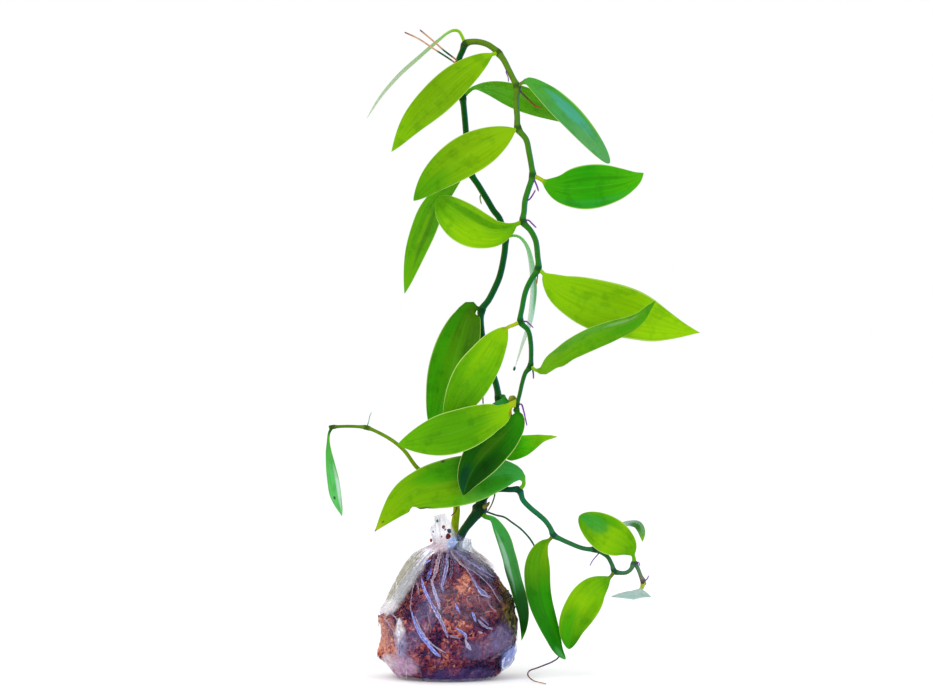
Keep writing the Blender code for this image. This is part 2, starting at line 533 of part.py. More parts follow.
MIX_RINGS = [
    (1.1, 20, -1.5), (1.1, 43, -1.5), (6, 52, -1.8), (13, 56.2, -3.2), (18, 59.2, -4.8), (22, 64, -7),
    (27, 66.2, -5.8), (36, 68, -1), (50, 68.8, -0.8), (60, 69, -1.5), (65, 64.5, 2.5), (70, 61.5, 4.5),
    (77, 58, 5.5), (86, 52.2, 5.8), (97, 44.8, 5.8), (106, 37, 6), (113, 31.2, 5.8), (119, 24.8, 4.8),
    (122.5, 17.8, 2.2),
]
MIX_TOP = MIX_RINGS[-1][0]
MIX_RELIEF = 3.2
MIX_GRAIN = 9.0
NECK_SHIFT = FILM_RINGS[-1][2]


def film_point(angle, ring):
    """A point on the bag's outside, in metres."""
    height, half_width, shift, pleat = ring
    reach = half_width + pleat * math.cos(BAG_FOLDS * angle)
    return MM * Vector((shift + reach * math.cos(angle), BAG_DEPTH_RATIO * reach * math.sin(angle), height))


def ruffle_point(angle, ring):
    """A point on the gathered edge above the neck, which stands higher on the left."""
    rise, half_width, shift, pleat = ring
    tall = RUFFLE_LOW + (RUFFLE_HIGH - RUFFLE_LOW) * ((1 - math.cos(angle)) / 2) ** RUFFLE_SLOPE
    return film_point(angle, (FILM_RINGS[-1][0] + rise * tall, half_width, shift, pleat))


def mix_point(angle, ring):
    """A point on the filling, pressed out against the film in lumps of bark."""
    height, half_width, shift = ring
    smooth_side = Vector((shift + half_width * math.cos(angle),
                          BAG_DEPTH_RATIO * half_width * math.sin(angle), height))
    lump = 0.5 + 0.5 * noise.noise(smooth_side / MIX_GRAIN)
    inward = Vector((math.cos(angle), math.sin(angle), 0.25)) * MIX_RELIEF * lump
    if height < FILM_RINGS[2][0]:
        inward.z = 0.0
    return MM * (smooth_side - inward)


def ring_of(loft, place_point, ring):
    """One ring of points of a loft."""
    return [loft.verts.new(place_point(2 * math.pi * i / BAG_SIDES, ring)) for i in range(BAG_SIDES)]


def join_rings(loft, rings):
    """The faces between each ring and the next one up."""
    for low, high in zip(rings, rings[1:]):
        for i in range(BAG_SIDES):
            after = (i + 1) % BAG_SIDES
            loft.faces.new((low[i], low[after], high[after], high[i]))


def cap_ring(loft, ring, height, top):
    """Closes a ring with a fan round a middle point."""
    middle = loft.verts.new((sum((vert.co for vert in ring), Vector()) / len(ring)).xy.to_3d())
    middle.co.z = height * MM
    for i in range(BAG_SIDES):
        pair = (ring[i], ring[(i + 1) % BAG_SIDES])
        loft.faces.new((*pair, middle) if top else (*reversed(pair), middle))


def loft_object(name, loft, material):
    """The finished loft as a mesh object, in triangles."""
    bmesh.ops.triangulate(loft, faces=loft.faces)
    mesh = bpy.data.meshes.new(name)
    loft.to_mesh(mesh)
    loft.free()
    mesh.materials.append(material)
    made = bpy.data.objects.new(name, mesh)
    parts.objects.link(made)
    return made


film = bmesh.new()
film_rings = [ring_of(film, film_point, ring) for ring in FILM_RINGS]
film_rings += [ring_of(film, ruffle_point, ring) for ring in RUFFLE_RINGS]
join_rings(film, film_rings)
cap_ring(film, film_rings[0], 0.0, top=False)
bag = loft_object("bag", film, CLEAR_FILM)
film_wall = bag.modifiers.new("film", "SOLIDIFY")
film_wall.thickness = BAG_WALL * MM
film_wall.offset = -1.0

filling = bmesh.new()
filling_rings = [ring_of(filling, mix_point, ring) for ring in MIX_RINGS]
join_rings(filling, filling_rings)
cap_ring(filling, filling_rings[0], MIX_RINGS[0][0], top=False)
cap_ring(filling, filling_rings[-1], MIX_TOP, top=True)
trim(loft_object("growing_mix", filling, BARK_BROWN), vine_cutter, left_cutter)

# A narrow clear band closes the neck.
TIE_HEIGHT = 136.5
TIE_RADIUS = 1.2
TIE_POINTS = 24
neck_half = FILM_RINGS[-1][1] + FILM_RINGS[-1][3] + GAP + TIE_RADIUS
corner_half = neck_half / math.cos(math.pi / TIE_POINTS)
tie_path = []
for step in range(TIE_POINTS):
    angle = 2 * math.pi * step / TIE_POINTS
    tie_path.append(film_point(angle, (TIE_HEIGHT, corner_half, NECK_SHIFT, 0)))
tie = tube("neck_tie", tie_path, [TIE_RADIUS] * TIE_POINTS, 1, CLEAR_FILM)
tie.data.splines[0].use_cyclic_u = True
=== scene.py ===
"""The looks of a vanilla orchid in a tied clear bag of bark: living stems, leaves, roots, film and bark."""

import math

import bmesh
import bpy
import numpy as np
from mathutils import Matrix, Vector, noise
from mathutils.bvhtree import BVHTree


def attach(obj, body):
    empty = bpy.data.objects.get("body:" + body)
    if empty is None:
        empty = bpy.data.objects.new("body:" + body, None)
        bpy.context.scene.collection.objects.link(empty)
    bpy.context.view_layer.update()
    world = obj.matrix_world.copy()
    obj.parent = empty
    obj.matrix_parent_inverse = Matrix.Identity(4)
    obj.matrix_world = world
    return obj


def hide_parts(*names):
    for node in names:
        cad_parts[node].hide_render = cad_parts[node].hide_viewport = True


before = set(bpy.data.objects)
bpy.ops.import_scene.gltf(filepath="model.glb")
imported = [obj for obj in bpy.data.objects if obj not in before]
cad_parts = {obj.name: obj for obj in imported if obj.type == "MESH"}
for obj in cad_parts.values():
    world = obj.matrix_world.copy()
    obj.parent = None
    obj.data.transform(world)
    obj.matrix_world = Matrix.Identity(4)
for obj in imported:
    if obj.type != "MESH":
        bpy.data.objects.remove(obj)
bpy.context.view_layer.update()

# The filling is fir bark and coir, pressed against the film. Its core is one lumpy body, a little
# smaller than the filling, and the chips and fibres that lie on it hide it.
MM = 0.001
# The eye, in millimetres: its x, how far it stands in front of the plant, and its height.
EYE = (17.5, 3000.0, 327.0)
DEPTH_OF_BAG = 0.9
CORE_SIDES = 110
CORE_STEP = 2.5
# The core's rings from the bottom up: height, half width, shift to the right.
CORE_RINGS = [
    (4.4, 18, -1), (4.4, 42, -1), (6.6, 53.5, -2), (13, 56.3, -4), (18, 59.3, -6), (22, 64, -8),
    (26, 66, -6.5), (30, 66.5, -4.5), (36, 67.5, -1.2), (50, 68.2, -0.5), (60, 69, -1.6), (65, 63.5, 2.5),
    (70, 60.5, 5), (77, 57.5, 6.3), (86, 52, 6.8), (97, 44.5, 6.4), (107, 36.5, 6.8), (116, 28, 5.5),
    (122, 21, 3.8), (126, 13.5, 1.5), (128.5, 5, 0),
]
CORE_RELIEF = 4.0
CORE_LUMP_SIZE = 10.0


def curve_point(points, share):
    """The point at this share of the stretch between the middle two of four points."""
    knots = [0.0]
    for start, end in zip(points, points[1:]):
        knots.append(knots[-1] + math.sqrt(max(1e-9, np.linalg.norm(end - start))))
    at = knots[1] + (knots[2] - knots[1]) * share
    level = list(points)
    for width in (1, 2, 3):
        for i in range(4 - width):
            low = max(knots[i], knots[1]) if width == 3 else knots[i]
            high = min(knots[i + width], knots[2]) if width == 3 else knots[i + width]
            level[i] = level[i] + (level[i + 1] - level[i]) * (at - low) / (high - low)
    return level[0]


def rounded(points, step):
    """A smooth curve through all the points, with a point about every `step`."""
    points = [np.array(point, float) for point in points]
    ends = [2 * points[0] - points[1], *points, 2 * points[-1] - points[-2]]
    path = []
    for a, b, c, d in zip(ends, ends[1:], ends[2:], ends[3:]):
        pieces = max(1, round(float(np.linalg.norm(c - b)) / step))
        path += [curve_point((a, b, c, d), i / pieces) for i in range(pieces)]
    return np.array(path + [points[-1]])


def object_of(name, data):
    """A new object in the scene, with this mesh, lamp or camera as its data."""
    made = bpy.data.objects.new(name, data)
    bpy.context.scene.collection.objects.link(made)
    return made


def mark(mesh, key, numbers):
    """Gives each point of the mesh a number of its own, under the key."""
    mesh.attributes.new(key, "FLOAT", "POINT").data.foreach_set("value", numbers)


def face_outwards(mesh):
    """Turns the faces of a closed mesh so that they all look outwards."""
    turned = bmesh.new()
    turned.from_mesh(mesh)
    bmesh.ops.recalc_face_normals(turned, faces=turned.faces)
    turned.to_mesh(mesh)
    turned.free()


def loft(name, strands, values=None, closed_ends=True):
    """A mesh object from strands of rings of points in millimetres, with lists of values for them."""
    points, faces, numbers = [], [], {key: [] for key in values or {}}
    for strand, rings in enumerate(strands):
        rings = np.array(rings, float)
        count, sides = rings.shape[:2]
        first = len(points)
        points += [tuple(point) for point in (rings * MM).reshape(-1, 3)]
        for row in range(count - 1):
            low = first + row * sides
            for i in range(sides):
                after = (i + 1) % sides
                faces.append((low + i, low + after, low + sides + after, low + sides + i))
        for key in numbers:
            numbers[key] += list(np.array(values[key][strand], float).reshape(-1))
        if closed_ends:
            for row, turned in ((0, True), (count - 1, False)):
                points.append(tuple(rings[row].mean(0) * MM))
                low = first + row * sides
                for i in range(sides):
                    pair = (low + i, low + (i + 1) % sides)
                    faces.append((*(reversed(pair) if turned else pair), len(points) - 1))
                for key in numbers:
                    numbers[key].append(float(np.mean(values[key][strand][row])))
    mesh = bpy.data.meshes.new(name)
    mesh.from_pydata(points, [], faces)
    for key, list_of_numbers in numbers.items():
        mark(mesh, key, list_of_numbers)
    if closed_ends:
        face_outwards(mesh)
    mesh.shade_smooth()
    return object_of(name, mesh)


def add(tree, kind, inputs=None, **settings):
    """A new node, with its settings and with a value or a link for each of the named inputs."""
    node = tree.nodes.new(kind)
    for key, value in settings.items():
        setattr(node, key, value)
    for key, value in (inputs or {}).items():
        if isinstance(value, bpy.types.NodeSocket):
            tree.links.new(value, node.inputs[key])
        else:
            node.inputs[key].default_value = value
    return node


STUDIO_LIGHT = 1.2


def paint(red, green, blue):
    """The colour that shows on screen with these values, 0 to 255, in the studio's light."""
    levels = [value / 255 for value in (red, green, blue)]
    linear = [v / 12.92 if v <= 0.04045 else ((v + 0.055) / 1.055) ** 2.4 for v in levels]
    return (*[v / STUDIO_LIGHT for v in linear], 1.0)


def skin(name, roughness, specular=0.5):
    """A new material. Returns it, its node tree and its shader."""
    made = bpy.data.materials.new(name)
    made.use_nodes = True
    shader = made.node_tree.nodes["Principled BSDF"]
    shader.inputs["Roughness"].default_value = roughness
    shader.inputs["Specular IOR Level"].default_value = specular
    return made, made.node_tree, shader


def value_of(tree, name):
    """The socket of a mesh attribute."""
    return add(tree, "ShaderNodeAttribute", attribute_name=name).outputs["Fac"]


def sums(tree, operation, *values):
    """The socket of a sum worked out from sockets and numbers."""
    return add(tree, "ShaderNodeMath", dict(enumerate(values)), operation=operation).outputs[0]


def spread(tree, value, low, high, out_low=0.0, out_high=1.0):
    """The value taken smoothly from one range to another."""
    inputs = {0: value, 1: low, 2: high, 3: out_low, 4: out_high}
    return add(tree, "ShaderNodeMapRange", inputs, interpolation_type="SMOOTHSTEP").outputs[0]


def mixed(tree, share, first, second, mode="MIX"):
    """The socket of two colours mixed by the share."""
    inputs = {0: share, 6: first, 7: second}
    return add(tree, "ShaderNodeMix", inputs, data_type="RGBA", blend_type=mode).outputs[2]


def ramp(tree, value, stops):
    """The socket of a colour that follows the stops, each (position, colour)."""
    node = add(tree, "ShaderNodeValToRGB", {0: value})
    bar = node.color_ramp.elements
    while len(bar) < len(stops):
        bar.new(1.0)
    for element, (position, colour) in zip(bar, stops):
        element.position = position
        element.color = colour
    return node.outputs[0]


def grain(tree, vector, scale, detail=2.0, roughness=0.5):
    """The socket of a cloudy pattern, 0 to 1."""
    inputs = {"Vector": vector, "Scale": scale, "Detail": detail, "Roughness": roughness}
    return add(tree, "ShaderNodeTexNoise", inputs).outputs["Fac"]


def place_of(tree):
    """The socket of a point's place on the object, in metres."""
    return add(tree, "ShaderNodeTexCoord").outputs["Object"]


def bumped(tree, shader, height, strength, depth):
    """Gives the shader a fine relief, `depth` millimetres deep."""
    inputs = {"Height": height, "Strength": strength, "Distance": depth * MM}
    tree.links.new(add(tree, "ShaderNodeBump", inputs).outputs[0], shader.inputs["Normal"])


def put(piece, slot, *nodes):
    """Puts a finished piece on the plant's one body, in place of the nodes."""
    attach(piece, "root")
    if nodes:
        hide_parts(*nodes)


def ring_of(sides):
    """The angles of a ring's points."""
    return [2 * math.pi * i / sides for i in range(sides)]


def core_ring(height, half_width, shift):
    """One ring of the core, pushed in by soft lumps."""
    points = []
    for angle in ring_of(CORE_SIDES):
        way = np.array((math.cos(angle), DEPTH_OF_BAG * math.sin(angle), 0.0))
        point = np.array((shift, 0.0, height)) + half_width * way
        lump = 0.5 + 0.5 * noise.noise(Vector(point / CORE_LUMP_SIZE))
        points.append(point - way * CORE_RELIEF * lump)
    return points


MOSS_MIDDLE = (70, -4, 68)
MOSS_REACH = (26, 56, 42)
MOSS_CLUMP_SIZE = 8


def mossy(point):
    """How mossy the filling is here: most on its right side, above the middle."""
    away = Vector([
        (at - middle) / reach for at, middle, reach in zip(point, MOSS_MIDDLE, MOSS_REACH)
    ]).length
    return max(0.0, min(1.0, 1.9 - 1.3 * away + 0.7 * noise.noise(Vector(point) / MOSS_CLUMP_SIZE)))


BACK_WARMTH = 0.5
# Warm places in the bark, where its own tone is lighter, and dark places, which are painted shade in
# hollows and towards the bottom, as seen from the front: (x, z), reach along x and z, and how much
# warmer the place is, below zero for the painted shade.
WARM_AND_SHADED_PLACES = [
    ((-66, 46), (15, 30), 0.86), ((-58, 28), (18, 9), 0.6), ((14, 95), (19, 13), 0.6),
    ((-46, 84), (14, 22), 0.34), ((-10, 20), (26, 12), 0.26), ((8, 60), (14, 12), 0.24),
    ((-28, 92), (7, 12), 0.3), ((30, 48), (12, 9), 0.14), ((-36, 50), (9, 12), 0.14),
    ((2, 98), (9, 13), -0.42), ((-13, 50), (11, 13), -0.36), ((-20, 104), (7, 9), -0.3),
    ((32, 66), (14, 15), -0.22), ((-26, 30), (12, 7), -0.3), ((30, 12), (36, 10), -0.4),
    ((-2, 3), (44, 7), -0.3), ((45, 20), (18, 12), -0.3), ((-42, 66), (8, 9), -0.2),
    ((31, 102), (14, 9), -0.3), ((-30, 72), (8, 12), -0.2), ((0, 112), (16, 7), -0.25),
]


def warmth_and_painted_shade(point):
    """How much warmer and lighter than usual the bark is here, or darker and more purple where shade is
    painted in.
    """
    x, z = EYE[0] + (point[0] - EYE[0]) / (1 + point[1] / EYE[1]), point[2]
    total = 0.24 * noise.noise(Vector(point) / 11) + 0.14 * noise.noise(Vector(point) / 5)
    for (middle_x, middle_z), (reach_x, reach_z), amount in WARM_AND_SHADED_PLACES:
        away = ((x - middle_x) / reach_x) ** 2 + ((z - middle_z) / reach_z) ** 2
        total += amount * max(0.0, 1 - away) * (1 if point[1] < 0 else BACK_WARMTH)
    return total


core_rings = [core_ring(*ring) for ring in rounded(CORE_RINGS, CORE_STEP)]
core_values = {key: [[[rule(point) for point in ring] for ring in core_rings]]
               for key, rule in (("moss", mossy), ("warm", warmth_and_painted_shade))}
core = loft("mix_core", [core_rings], core_values)


def bark_skin():
    """Bark: each chip has its own tone from dark purple to orange, greener where moss grows, and darker
    where shade is painted in.
    """
    made, tree, shader = skin("bark and coir", 0.85, 0.1)
    where = place_of(tree)
    cloud = grain(tree, where, 60, 3, 0.6)
    fine = grain(tree, where, 380, 4, 0.7)
    own = sums(tree, "MULTIPLY", value_of(tree, "tone"), 0.66)
    patch = sums(tree, "MULTIPLY", spread(tree, cloud, 0.36, 0.64), 0.26)
    fleck = sums(tree, "MULTIPLY", sums(tree, "SUBTRACT", fine, 0.5), 0.9)
    tone = sums(tree, "ADD", sums(tree, "ADD", own, patch), fleck)
    # The dark places lay painted shade over the bark's own tone.
    tone = sums(tree, "ADD", tone, sums(tree, "MULTIPLY", value_of(tree, "warm"), 0.72))
    colour = ramp(tree, tone, [
        (0.0, paint(24, 4, 42)), (0.2, paint(46, 8, 58)), (0.4, paint(90, 24, 64)),
        (0.6, paint(148, 58, 66)), (0.8, paint(202, 104, 80)), (1.0, paint(242, 172, 136)),
    ])
    moss = sums(tree, "MULTIPLY", value_of(tree, "moss"), 0.97)
    green = ramp(tree, tone, [
        (0.1, paint(14, 14, 2)), (0.45, paint(52, 50, 0)),
        (0.75, paint(98, 100, 0)), (1.0, paint(144, 140, 20)),
    ])
    tree.links.new(mixed(tree, moss, colour, green), shader.inputs["Base Color"])
    bumped(tree, shader, fine, 0.6, 0.4)
    return made


BARK = bark_skin()
# The core is toned dark, so the gaps between the chips show it as painted shade.
CORE_SHADE_TONE = 0.12
mark(core.data, "tone", [CORE_SHADE_TONE] * len(core.data.vertices))
core.data.materials.append(BARK)
put(core, "bark_mix", "growing_mix")


# Bark chips are torn flat pieces up to a centimetre long. They lie on the core at all angles, each
# with its own tone. The same rule strews coir fibres and moss strands, which are thin and bent.
CHIP_SIZES = ((1.0, 0.4, 0.2), (1.1, 0.28, 0.24), (0.8, 0.55, 0.16))
FIBRE_BENDS = (0.16, -0.3, 0.05)
FIBRE_RADIUS = 0.022
MOST_POINTS = 4.0e6


def grown_from(source, tree, name, **values):
    """The mesh object that a geometry tree grows from the source, with the tree's named inputs set."""
    run = source.modifiers.new("grown", "NODES")
    run.node_group = tree
    for item in tree.interface.items_tree:
        if item.in_out == "INPUT" and item.name in values:
            run[item.identifier] = values[item.name]
    bpy.context.view_layer.update()
    evaluated = source.evaluated_get(bpy.context.evaluated_depsgraph_get())
    mesh = bpy.data.meshes.new_from_object(evaluated)
    source.modifiers.remove(run)
    return object_of(name, mesh)


def new_tree(name, **inputs):
    """An empty geometry tree with a geometry input and output and these named number inputs."""
    tree = bpy.data.node_groups.new(name, "GeometryNodeTree")
    tree.interface.new_socket("Geometry", in_out="INPUT", socket_type="NodeSocketGeometry")
    for key, kind in inputs.items():
        tree.interface.new_socket(key, in_out="INPUT", socket_type="NodeSocket" + kind)
    tree.interface.new_socket("Geometry", in_out="OUTPUT", socket_type="NodeSocketGeometry")
    return tree, add(tree, "NodeGroupInput").outputs


def end_tree(tree, shape, material):
    """Ends a geometry tree with real faces in the material."""
    real = add(tree, "GeometryNodeRealizeInstances", {0: shape}).outputs[0]
    set_material = add(tree, "GeometryNodeSetMaterial", {"Geometry": real, "Material": material})
    add(tree, "NodeGroupOutput", {0: set_material.outputs[0]})


def random_number(tree, low, high, seed):
    """The socket of a random number for each point."""
    inputs = {2: low, 3: high, "Seed": seed}
    return add(tree, "FunctionNodeRandomValue", inputs, data_type="FLOAT").outputs[1]


def random_vector(tree, low, high, seed):
    """The socket of a random vector for each point."""
    inputs = {0: low, 1: high, "Seed": seed}
    return add(tree, "FunctionNodeRandomValue", inputs, data_type="FLOAT_VECTOR").outputs[0]


def random_pick(tree, count, seed):
    """The socket of a random whole number below the count for each point."""
    inputs = {4: 0, 5: count - 1, "Seed": seed}
    return add(tree, "FunctionNodeRandomValue", inputs, data_type="INT").outputs[2]


def carried(tree, name):
    """The socket of a number that each point carries, in a geometry tree."""
    return add(tree, "GeometryNodeInputNamedAttribute", {"Name": name}, data_type="FLOAT").outputs[0]


def vector_of(tree, *values):
    """The socket of a vector put together from sockets and numbers."""
    return add(tree, "ShaderNodeCombineXYZ", dict(enumerate(values))).outputs[0]


def vectors(tree, operation, first, second):
    """The socket of a vector worked out from two others."""
    return add(tree, "ShaderNodeVectorMath", {0: first, 1: second}, operation=operation).outputs[0]


def strewn_tree(name, shape_of):
    """A tree that strews a shape over a surface, laid flat with some tilt, each with a random tone."""
    tree, given = new_tree(
        name, Spacing="Float", Length="Float", Tilt="Float", Mossy="Float", Seed="Int",
        Material="Material",
    )
    bare = sums(tree, "SUBTRACT", carried(tree, "moss"), 1.0)
    share = sums(tree, "MULTIPLY_ADD", bare, given["Mossy"], 1.0)
    scatter = add(tree, "GeometryNodeDistributePointsOnFaces", {
        "Mesh": given["Geometry"], "Distance Min": given["Spacing"], "Density Max": MOST_POINTS,
        "Density Factor": share, "Seed": given["Seed"],
    }, distribute_method="POISSON")
    spin = random_vector(tree, (-1, -1, -math.pi), (1, 1, math.pi), 3)
    lean = vectors(tree, "MULTIPLY", spin, vector_of(tree, given["Tilt"], given["Tilt"], 1.0))
    turn = add(tree, "FunctionNodeEulerToRotation", {0: lean}).outputs[0]
    rotation = add(tree, "FunctionNodeRotateRotation", {
        0: scatter.outputs["Rotation"], 1: turn,
    }, rotation_space="LOCAL").outputs[0]
    sizes = random_vector(tree, (0.55, 0.55, 0.6), (1.15, 1.15, 1.2), 7)
    scaled = add(tree, "ShaderNodeVectorMath", {
        0: sizes, "Scale": given["Length"],
    }, operation="SCALE").outputs[0]
    strewn = add(tree, "GeometryNodeInstanceOnPoints", {
        "Points": scatter.outputs["Points"], "Instance": shape_of(tree), "Pick Instance": True,
        "Instance Index": random_pick(tree, 3, 11), "Rotation": rotation, "Scale": scaled,
    })
    toned = add(tree, "GeometryNodeStoreNamedAttribute", {
        "Geometry": strewn.outputs[0], "Name": "tone", "Value": random_number(tree, 0.0, 1.0, 19),
    }, data_type="FLOAT", domain="INSTANCE")
    end_tree(tree, toned.outputs[0], given["Material"])
    return tree


def chip_shapes(tree):
    """Three torn chips, each one unit long, as a list of instances."""
    joined = add(tree, "GeometryNodeJoinGeometry")
    for number, size in enumerate(CHIP_SIZES):
        cube = add(tree, "GeometryNodeMeshCube", {
            "Size": size, "Vertices X": 4, "Vertices Y": 3, "Vertices Z": 2,
        }).outputs[0]
        here = add(tree, "GeometryNodeInputPosition").outputs[0]
        moved = vectors(tree, "ADD", here, (number * 3.1, 1.7, 0.4))
        wild = add(tree, "ShaderNodeTexNoise", {
            "Vector": moved, "Scale": 2.6, "Detail": 2.0,
        }).outputs["Color"]
        about_zero = vectors(tree, "SUBTRACT", wild, (0.5, 0.5, 0.5))
        torn = vectors(tree, "MULTIPLY", about_zero, (0.7, 0.7, 0.55))
        shaped = add(tree, "GeometryNodeSetPosition", {"Geometry": cube, "Offset": torn}).outputs[0]
        chip = add(tree, "GeometryNodeGeometryToInstance", {0: shaped}).outputs[0]
        tree.links.new(chip, joined.inputs[0])
    return joined.outputs[0]


def fibre_shapes(tree):
    """Three bent fibres, each one unit long, as a list of instances."""
    joined = add(tree, "GeometryNodeJoinGeometry")
    for bend in FIBRE_BENDS:
        line = add(tree, "GeometryNodeCurvePrimitiveBezierSegment", {
            "Resolution": 6, "Start": (-0.5, 0, 0), "Start Handle": (-0.2, bend, 0.1),
            "End Handle": (0.2, -bend, 0.16), "End": (0.5, bend / 2, 0),
        }).outputs[0]
        wire = add(tree, "GeometryNodeCurvePrimitiveCircle", {
            "Resolution": 4, "Radius": FIBRE_RADIUS,
        }).outputs[0]
        tube = add(tree, "GeometryNodeCurveToMesh", {
            "Curve": line, "Profile Curve": wire, "Fill Caps": True,
        }).outputs[0]
        fibre = add(tree, "GeometryNodeGeometryToInstance", {0: tube}).outputs[0]
        tree.links.new(fibre, joined.inputs[0])
    return joined.outputs[0]


CHIPS = strewn_tree("strewn chips", chip_shapes)
FIBRES = strewn_tree("strewn fibres", fibre_shapes)
# Each kind's spacing, length, tilt, how strictly it keeps to the moss, and seed.
LOOSE_BITS = {
    "bark_chips": (CHIPS, 3.0, 7.4, 0.5, 0.0, 4),
    "coir_fibres": (FIBRES, 3.5, 15.0, 0.22, 0.0, 12),
    "moss_strands": (FIBRES, 1.7, 5.0, 0.9, 0.97, 5),
}
for name, (tree, spacing, length, tilt, moss_only, seed) in LOOSE_BITS.items():
    strewn = grown_from(
        core, tree, name, Spacing=spacing * MM, Length=length * MM, Tilt=tilt, Mossy=moss_only, Seed=seed,
        Material=BARK,
    )
    put(strewn, "bark_mix")


# The stems are round and fleshy, with a swollen dark joint wherever a leaf stands. The vine rises from
# the bark, arches over and hangs down to its right. One shoot leaves the bark beside it, the other
# leaves its lowest joint. A stem is a line of points: x and z as seen from the front, and depth.
STEM_SIDES = 20
STEM_STEP = 1.6
JOINT_SWELLING = 0.8
JOINT_LENGTH = 4.5
JOINT_STAIN = 3.0
SCAR_HEIGHT = 0.28
SCAR_LENGTH = 0.8
VINE = [
    (4, 66, 0), (6, 90, -1), (7.5, 115, -2), (9.5, 137, -3), (14, 147, -4), (21.5, 157, -4),
    (30, 168.5, -2), (33.5, 182, 2), (37, 202, 6),
    (41, 222, 10), (46, 242, 13), (49.5, 262, 16),
    (49, 279, 18), (46, 295, 19), (38, 318, 21), (32.5, 342, 22),
    (32, 367, 22), (39, 377.5, 22), (45, 389, 23), (50, 401, 23), (53.5, 416, 24), (55.5, 430, 24),
    (55.5, 439, 24), (50, 459, 24), (44, 467, 24), (37.5, 478, 23), (29, 492, 22.5),
    (21, 505, 22), (18, 525, 22), (16.5, 544, 21), (15, 562, 20),
    (13, 580, 20), (9.5, 598, 17), (8, 612, 15), (10, 620, 14), (13, 627, 13),
    (15.5, 633.5, 12), (20, 635.5, 11), (28, 635.8, 8), (37, 633.5, 4), (43.5, 629.5, 0),
    (49, 624.5, -2), (54.5, 617, -5), (59.5, 607, -8), (64.5, 597, -12),
    (67.5, 591, -14), (66.5, 577, -17), (67.5, 562, -20),
    (68.5, 549, -22), (76.5, 538, -24), (79.5, 525, -25), (82, 511, -26),
    (83, 502, -27), (79, 489, -28), (75.5, 477, -29), (74.5, 466, -30),
    (73.5, 456, -31), (81, 447, -32), (86, 437, -33), (88, 422, -34),
    (88.5, 409, -34), (81.5, 398, -35), (76, 386, -35), (72.8, 371, -36),
    (71, 356, -36), (78.5, 347, -37), (81, 336, -37), (81.5, 322, -38),
    (80.5, 311, -38), (76, 305, -39), (72.7, 295, -39.5), (70, 283, -40),
    (67, 272, -40), (66.5, 267.5, -39.5),
]
VINE_JOINTS = (9, 12, 16, 22, 27, 31, 36, 41, 45, 48, 52, 56, 60, 64, 68, 72)
LOWEST_JOINT = 6
LOWEST_JOINT_SWELLING = 2.8
VINE_RADII = [
    (0, 4.6), (0.07, 4.5), (0.085, 4.2), (0.1, 5.2), (0.13, 4.9), (0.17, 3.3), (0.5, 3.1), (0.85, 2.8),
    (0.93, 2.4), (1, 1.9),
]
LEFT_SHOOT = [
    (3, 72, 9), (3.8, 100, 9), (4.6, 137, 8.5), (5.3, 153, 8.5), (7, 170, 8.5), (4.5, 181, 9),
    (-5, 190.5, 9), (-14, 197.5, 9), (-24, 204, 8), (-32.5, 210, 7), (-45, 226.5, 5), (-55, 235.5, 4),
    (-69, 244, 3), (-83, 250, 2), (-92, 251, 1.5), (-104, 251.3, 1), (-117.5, 250.5, 0),
    (-120.5, 249.8, 0),
]
LEFT_SHOOT_JOINTS = (13, 16)
LEFT_SHOOT_RADII = [(0, 4.1), (0.32, 4.0), (0.42, 2.8), (0.55, 2.2), (1, 1.4)]
RIGHT_SHOOT = [
    (29, 168.5, -2), (34, 178, -4), (40, 184.5, -6), (48, 188, -9), (60, 188, -11),
    (69.3, 187.5, -12), (73.5, 177.5, -12), (81, 169.5, -12), (89.5, 162.5, -12), (95.5, 157, -12),
    (100.5, 150, -12),
    (104, 142.5, -12), (111.5, 138.3, -12), (121, 134, -11), (131, 130, -10), (138, 128.5, -9),
    (145, 128, -8), (151.5, 125.3, -8), (158.3, 120.3, -9), (162.3, 113, -9.5),
    (164.8, 106.3, -10), (171, 104.7, -10), (177, 105.2, -9), (181.5, 108.7, -8.5),
    (184.5, 115, -8), (188.3, 109, -7), (191, 102, -6),
    (193.6, 96, -5), (194, 92.8, -4.5),
]
RIGHT_SHOOT_JOINTS = (5, 11, 16, 20, 24, 27)
RIGHT_SHOOT_RADII = [(0, 3.0), (0.3, 2.6), (0.7, 2.1), (1, 1.9)]


def seen(x, z, depth):
    """The point this far behind the middle plane that is seen at (x, z) from the front."""
    spread_out = 1 + depth / EYE[1]
    return (EYE[0] + (x - EYE[0]) * spread_out, depth, EYE[2] + (z - EYE[2]) * spread_out)


def lengths_along(path):
    """How far along the path each of its points lies."""
    return np.concatenate([[0.0], np.cumsum(np.linalg.norm(np.diff(path, axis=0), axis=1))])


def path_object(name, path, values):
    """A line of points in metres that carries the values as attributes."""
    mesh = bpy.data.meshes.new(name)
    count = len(path)
    mesh.from_pydata([tuple(point * MM) for point in path], [(i, i + 1) for i in range(count - 1)], [])
    for key, numbers in values.items():
        mark(mesh, key, list(numbers))
    return object_of(name, mesh)


def swept_tree():
    """A tree that makes a line into a round body, as thick as the line's own thickness attribute says."""
    tree, given = new_tree("swept stem", Sides="Int", Material="Material")
    line = add(tree, "GeometryNodeMeshToCurve", {0: given["Geometry"]}).outputs[0]
    circle = add(tree, "GeometryNodeCurvePrimitiveCircle", {
        "Resolution": given["Sides"], "Radius": MM,
    }).outputs[0]
    body = add(tree, "GeometryNodeCurveToMesh", {
        "Curve": line, "Profile Curve": circle, "Scale": carried(tree, "thickness"), "Fill Caps": True,
    }).outputs[0]
    smooth = add(tree, "GeometryNodeSetShadeSmooth", {"Geometry": body}).outputs[0]
    end_tree(tree, smooth, given["Material"])
    return tree


SWEPT = swept_tree()


def swept(name, path, thickness, sides, material, **values):
    """A round body along the path, with its ends capped, in the material."""
    line = path_object(name + "_line", path, {"thickness": thickness, **values})
    made = grown_from(line, SWEPT, name, Sides=sides, Material=material)
    bpy.data.objects.remove(line, do_unlink=True)
    made.data.shade_smooth()
    return made


